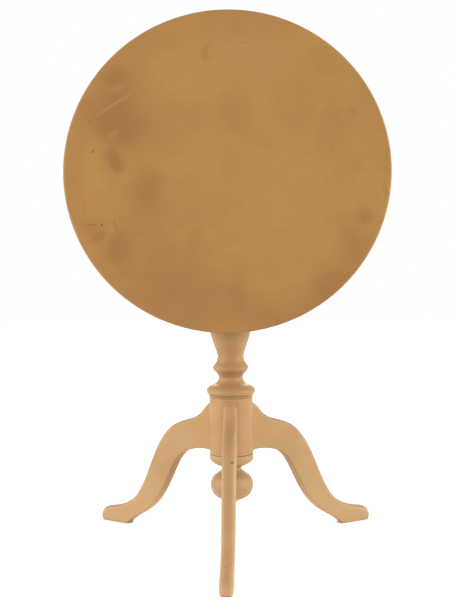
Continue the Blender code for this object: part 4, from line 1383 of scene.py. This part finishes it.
# Marks on the front leg: across, out from the column's axis and height, half sizes, depth and tint.
# The two pale ones high up are painted light, and the one at the toe's end a painted highlight.
FRONT_MARKS = (
    ((0.0070, 0.1691, 0.1941), (0.0034, 0.0034, 0.0030), 0.95, KNOT_BROWN),
    ((-0.0027, 0.2880, 0.0374), (0.0050, 0.0026, 0.0040), 0.40, KNOT_BROWN),
    ((-0.0008, 0.3062, 0.0329), (0.0036, 0.0024, 0.0040), 0.35, KNOT_BROWN),
    ((0.0000, 0.0500, 0.2700), (0.0200, 0.0300, 0.0300), 0.25, PALE_WEAR_AND_LIGHT),
    ((-0.0030, 0.1000, 0.2411), (0.0200, 0.0460, 0.0280), 0.30, PALE_WEAR_AND_LIGHT),
    ((0.0000, 0.2600, 0.0550), (0.0250, 0.0700, 0.0600), 0.30, PALE_WEAR_AND_LIGHT),
    ((0.0000, 0.3360, 0.0060), (0.0200, 0.0170, 0.0170), 0.90, TOE_END_HIGHLIGHT),
)


def rubbed_and_lit_toe(tree, place, colour, slow):
    """Paler near the floor, as rubbed wear and as painted light thrown up from the floor, with an uneven
    upper border.
    """
    frayed = layered(tree, (slow, 0.02), (part_of(tree, place, "Z"), 1.0))
    return lay(tree, colour, PALE_WEAR_AND_LIGHT, stretch(tree, frayed, *TOE_FADE, 1.0, 0.0), 0.65)


def shaded_by_facing(tree, colour):
    """Painted shade: darker and greyer where it faces up, darker and warmer where it faces down."""
    rise = part_of(tree, add(tree, "NewGeometry").outputs["Normal"], "Z")
    colour = blend(tree, stretch(tree, rise, 0.35, 0.75), colour, UPWARD_SHADE, "MULTIPLY")
    return blend(tree, stretch(tree, rise, -0.45, -0.10, 1.0, 0.0), colour, DOWNWARD_WARM_SHADE, "MULTIPLY")


def side_leg_shade_and_wear(tree, place, colour, slow):
    """Golden by the column, pale at the toe, with painted shade on its back and underside."""
    golden = spot(tree, place, GOLDEN_MIDDLE, (GOLDEN_REACH, GOLDEN_REACH, GOLDEN_REACH), core=0.35)
    colour = lay(tree, colour, TAN_GOLD, golden, 0.65)
    return shaded_by_facing(tree, rubbed_and_lit_toe(tree, place, colour, slow))


def front_leg_marks_and_light(tree, place, colour, slow):
    """A reddish streak that also paints shade, between two painted highlights, then its marks."""
    colour = rubbed_and_lit_toe(tree, place, colour, slow)
    colour = lay_bands(tree, colour, part_of(tree, place, "X"), FRONT_SHADE_AND_HIGHLIGHTS)
    for (x, out, z), size, depth, tint in FRONT_MARKS:
        mark = spot(tree, place, (x, AXIS.y - out, z), size, core=0.3)
        colour = lay(tree, colour, tint, mark, depth)
    return colour


for node, leg in legs.items():
    heading = math.radians(LEG_HEADINGS[node])
    heart = AXIS + Vector((0, 0, 0.10)) + Matrix.Rotation(heading, 3, "Z") @ Vector((0.1, 0.05, -0.03))
    overlay = front_leg_marks_and_light if node == "leg_front" else side_leg_shade_and_wear
    dress(leg, tan_wood(f"tan_wood_{node}", heart, (0, LEG_SLOPE, heading), overlay))

# %% [markdown]
# ## Ochre face of the top
# The face is the same kind of wood under a golden, slightly cloudy finish. Its stains aren't random:
# a dark cloud at the left with a light scrape across it, small dents and specks, a reddish, darker
# edge below and at the lower right, and lighter places between. Clouds, blushes and glows are soft
# ellipses at those places, frayed by noise, and the rest is slow mottling and grain.

# %% Marks on the face
OCHRE_GOLD = (0.516, 0.273, 0.073, 1)
OCHRE_DEEP = (0.440, 0.216, 0.066, 1)
OCHRE_LIGHT = (0.545, 0.300, 0.086, 1)
OCHRE_HAZE = (0.500, 0.262, 0.092, 1)
OCHRE_CLOUD = (0.350, 0.158, 0.047, 1)
OCHRE_BLUSH = (0.400, 0.168, 0.058, 1)
OCHRE_SCRAPE = (0.490, 0.250, 0.088, 1)
SPECK = (0.075, 0.025, 0.010, 1)
# Marks on the face: across and up from its middle, half width, half height, slant and depth
CLOUDS = (
    (-0.203, 0.120, 0.085, 0.120, -15, 0.55), (-0.160, 0.080, 0.080, 0.065, 0, 0.36),
    (-0.151, -0.022, 0.048, 0.075, 0, 0.46), (-0.205, -0.139, 0.060, 0.065, 0, 0.34),
    (-0.120, -0.170, 0.125, 0.105, 20, 0.26), (0.193, -0.214, 0.085, 0.060, 40, 0.28),
    (0.242, -0.148, 0.055, 0.090, 20, 0.48), (0.016, -0.217, 0.024, 0.055, 0, 0.28),
    (0.022, 0.098, 0.045, 0.070, 0, 0.22), (0.130, 0.100, 0.045, 0.080, 0, 0.20),
    (0.172, 0.200, 0.050, 0.045, 0, 0.20), (0.195, 0.097, 0.032, 0.045, 0, 0.16),
    (-0.140, 0.250, 0.095, 0.050, 30, 0.22), (-0.060, -0.121, 0.032, 0.026, 0, 0.22),
    (-0.203, 0.020, 0.038, 0.045, 0, 0.40), (0.256, -0.082, 0.028, 0.028, 0, 0.34),
    (0.119, -0.171, 0.113, 0.072, 0, 0.14), (-0.253, -0.098, 0.026, 0.032, 0, 0.34),
)
BLUSHES = (
    (-0.155, -0.065, 0.075, 0.080, 0, 0.48), (-0.130, -0.190, 0.120, 0.090, 20, 0.30),
    (-0.075, -0.245, 0.150, 0.085, 0, 0.55), (0.085, -0.270, 0.140, 0.065, 0, 0.55),
    (0.200, -0.225, 0.095, 0.060, 40, 0.55), (0.030, 0.280, 0.160, 0.050, 0, 0.30),
    (-0.270, 0.100, 0.040, 0.120, -15, 0.35), (-0.208, 0.022, 0.036, 0.042, 0, 0.40),
)
PATCHES = (
    (-0.2074, 0.1810, 0.036, 0.026, 25, 0.34), (-0.1950, 0.1350, 0.036, 0.024, 30, 0.24),
    (-0.2140, 0.0850, 0.052, 0.046, 0, 0.40), (-0.2115, 0.0250, 0.020, 0.028, 20, 0.44),
    (-0.2456, -0.1184, 0.018, 0.017, 0, 0.48), (-0.2055, -0.1387, 0.030, 0.042, 0, 0.30),
    (-0.0351, 0.2238, 0.010, 0.022, 12, 0.38), (0.2615, -0.0854, 0.020, 0.018, 0, 0.32),
    (0.2345, 0.1080, 0.010, 0.012, 0, 0.26), (0.2967, -0.0369, 0.006, 0.020, 0, 0.35),
)
GLOWS = (
    (-0.085, 0.174, 0.090, 0.080, 0, 0.50), (-0.251, 0.000, 0.030, 0.085, 0, 0.50),
    (-0.187, -0.007, 0.007, 0.034, 0, 0.40), (0.152, -0.016, 0.105, 0.085, 0, 0.45),
    (0.132, -0.180, 0.055, 0.038, 0, 0.40), (0.060, -0.050, 0.085, 0.095, 0, 0.35),
    (-0.040, 0.020, 0.065, 0.105, 0, 0.30), (0.121, 0.062, 0.072, 0.095, 0, 0.50),
    (-0.160, 0.141, 0.038, 0.049, 0, 0.40), (-0.168, -0.154, 0.034, 0.049, 0, 0.40),
)
HAZES = ((0.048, 0.211, 0.142, 0.085, 0, 0.60), (-0.158, 0.248, 0.076, 0.049, 30, 0.40))
SCRAPES = (
    (-0.2065, 0.1320, 0.0600, 0.0052, 31, 0.75), (-0.2054, 0.1618, 0.0190, 0.0085, 28, 0.55),
    (-0.2129, 0.0755, 0.0180, 0.0080, 30, 0.55), (-0.2292, -0.1337, 0.0060, 0.0240, 0, 0.35),
)
SPECKS = (
    (-0.2371, -0.0958, 0.0024, 0.0026, 0, 0.90), (-0.2524, 0.0433, 0.0085, 0.0014, 45, 0.65),
    (-0.2561, 0.0996, 0.0042, 0.0018, 0, 0.45), (-0.2536, -0.0955, 0.0145, 0.0022, 0, 0.25),
    (-0.2694, -0.0624, 0.0022, 0.0200, 0, 0.18), (-0.2115, -0.0961, 0.0022, 0.0150, 19, 0.25),
    (0.1964, 0.0390, 0.0018, 0.0018, 0, 0.60), (0.0352, 0.2401, 0.0090, 0.0020, 0, 0.16),
    (-0.1376, -0.0452, 0.0060, 0.0014, 0, 0.25), (-0.1033, -0.1375, 0.0080, 0.0012, 0, 0.20),
)


# %% Top wood
def ragged(tree, place, size, reach):
    """Coordinates pushed about by noise, so that what is drawn on them has ragged borders."""
    push = add(tree, "TexNoise", {"Vector": place, "Scale": size, "Detail": 3.0}).outputs["Color"]
    push = add(tree, "VectorMath", {0: push, 1: (0.5, 0.5, 0.5)}, operation="SUBTRACT").outputs[0]
    push = add(tree, "VectorMath", {0: push, "Scale": reach}, operation="SCALE").outputs[0]
    return add(tree, "VectorMath", {0: place, 1: push}, operation="ADD").outputs[0]


def mark_face(tree, place, colour, marks, core, tint):
    """Lay marks of one tint over a colour; the core is the share of a mark that is full."""
    for x, z, wide, high, slant, depth in marks:
        middle = (x, FACE_Y, TOP_MIDDLE.z + z)
        mark = spot(tree, place, middle, (wide, 1.0, high), -slant, core)
        colour = lay(tree, colour, tint, mark, depth)
    return colour


def top_wood():
    material, tree, shader, place = new_material("ochre_wood")
    axes = grain_axes(tree, place, (0, 0.05, 0.70), LEVEL_GRAIN)
    fine = fibres(tree, axes, 5.0, 240.0)
    slow = noise(tree, place, 7.0, 3.0)
    cloudy = noise(tree, place, 30.0, 5.0, (0.8, 1, 1), 0.6)
    share = layered(
        tree, (stretch(tree, slow, 0.36, 0.68), 0.45), (stretch(tree, cloudy, 0.38, 0.66), 0.30),
        (stretch(tree, fine, 0.3, 0.7), 0.05),
    )
    colour = blend(tree, share, OCHRE_GOLD, OCHRE_DEEP)
    drifted = ragged(tree, ragged(tree, place, 14.0, 0.050), 46.0, 0.020)
    frayed = ragged(tree, ragged(tree, place, 34.0, 0.036), 90.0, 0.012)
    scratchy = ragged(tree, place, 60.0, 0.008)
    colour = mark_face(tree, drifted, colour, HAZES, 0.0, OCHRE_HAZE)
    colour = mark_face(tree, drifted, colour, GLOWS, 0.0, OCHRE_LIGHT)
    colour = mark_face(tree, drifted, colour, BLUSHES, 0.0, OCHRE_BLUSH)
    colour = mark_face(tree, drifted, colour, CLOUDS, 0.05, OCHRE_CLOUD)
    colour = mark_face(tree, frayed, colour, PATCHES, 0.40, OCHRE_CLOUD)
    colour = mark_face(tree, scratchy, colour, SCRAPES, 0.3, OCHRE_SCRAPE)
    colour = mark_face(tree, place, colour, SPECKS, 0.4, SPECK)
    set_surface(tree, shader, colour, stretch(tree, slow, 0.25, 0.75, 0.44, 0.58), 0.30)
    set_relief(tree, shader, fine, 0.0002, 0.10)
    return material


# %% [markdown]
# ## Raw wood underneath
# The block, the battens and the underside were never varnished. They are paler and drier, with the
# marks of the plane across the grain and a grey-brown tone where hands have lifted the top.

# %% Raw wood
RAW_PALE = (0.520, 0.345, 0.190, 1)
RAW_DEEP = (0.370, 0.215, 0.100, 1)
REAR = 0.4                  # faces whose normal's Y is above this look back


def raw_wood(name, heart, turn, tone):
    """Planed wood; a higher tone is a darker board."""
    material, tree, shader, place = new_material(name)
    axes = grain_axes(tree, place, heart, turn)
    fine = fibres(tree, axes, 7.0, 280.0)
    slow = noise(tree, place, 8.0, 3.0)
    plane = noise(tree, axes, 1.0, 1.0, (55.0, 9.0, 9.0))
    share = layered(
        tree, (stretch(tree, fine, 0.3, 0.7), 0.30), (rings(tree, axes, 0.0075, 7.0), 0.30),
        (stretch(tree, slow, 0.35, 0.75, tone, tone + 0.32), 1.0),
    )
    colour = blend(tree, share, RAW_PALE, RAW_DEEP)
    set_surface(tree, shader, colour, stretch(tree, slow, 0.2, 0.8, 0.62, 0.78), 0.25)
    set_relief(tree, shader, layered(tree, (plane, 1.5), (fine, 1.0)), 0.0005, 0.30)
    return material


def paint_under(board, material):
    """Give a board's rear face and the chamfers round it a second material."""
    board.data.materials.append(material)
    for face in board.data.polygons:
        if face.normal.y > REAR:
            face.material_index = 1


ochre = top_wood()
for number, board in enumerate(boards):
    dress(board, ochre)
    heart = (0, 0.02 + 0.03 * number, TOP_MIDDLE.z + (number - 1) * BOARD_WIDTH + 0.03)
    paint_under(board, raw_wood(f"raw_wood_board_{number + 1}", heart, LEVEL_GRAIN, 0.10 * number))
dress(block, raw_wood("raw_wood_block", (0, 0.04, 0.62), LEVEL_GRAIN, 0.12))
dress(wedge, raw_wood("raw_wood_wedge", (0.02, 0.06, 0.7), UPRIGHT_GRAIN, 0.0))
dress(battens["left"], raw_wood("raw_wood_batten_left", (-0.15, 0.05, 0), UPRIGHT_GRAIN, 0.05))
dress(battens["right"], raw_wood("raw_wood_batten_right", (0.09, -0.04, 0), UPRIGHT_GRAIN, 0.15))

# %% [markdown]
# ## Brass and iron
# The catch is cast brass that has dulled to brown except where fingers touch it. The screws in the
# battens are iron gone dark with age. Both are metals: the shader's Metallic is one, and the tarnish
# is a darker, rougher colour mixed in by noise.

# %% Metals
BRASS_BRIGHT = (0.640, 0.440, 0.160, 1)
BRASS_DULL = (0.300, 0.175, 0.060, 1)
IRON_GREY = (0.165, 0.155, 0.145, 1)
IRON_RUST = (0.110, 0.060, 0.034, 1)


def aged_metal(name, bright, dull, least, most):
    """A metal with tarnish in clouds and fine scratches, rough between two limits."""
    material, tree, shader, place = new_material(name)
    cloud = noise(tree, place, 160.0, 5.0)
    broad = stretch(tree, noise(tree, place, 45.0, 2.0), 0.30, 0.62, 0.25, 1.0)
    scratch = noise(tree, place, 1.0, 3.0, (2400.0, 300.0, 500.0))
    share = calc(tree, "MULTIPLY", stretch(tree, cloud, 0.38, 0.68), broad)
    colour = blend(tree, share, bright, dull)
    set_surface(tree, shader, colour, stretch(tree, share, 0.0, 1.0, least, most))
    shader.inputs["Metallic"].default_value = 1.0
    set_relief(tree, shader, calc(tree, "ADD", scratch, cloud), 0.00012, 0.25)
    return material


brass = aged_metal("dull_brass", BRASS_BRIGHT, BRASS_DULL, 0.28, 0.52)
iron = aged_metal("dark_iron", IRON_GREY, IRON_RUST, 0.42, 0.70)
for piece in [case, bolt, knob, plate, *case_screws, *plate_screws]:
    dress(piece, brass)
for piece in [spring, *batten_screws]:
    dress(piece, iron)
print(f"materials: {len(bpy.data.materials)}")
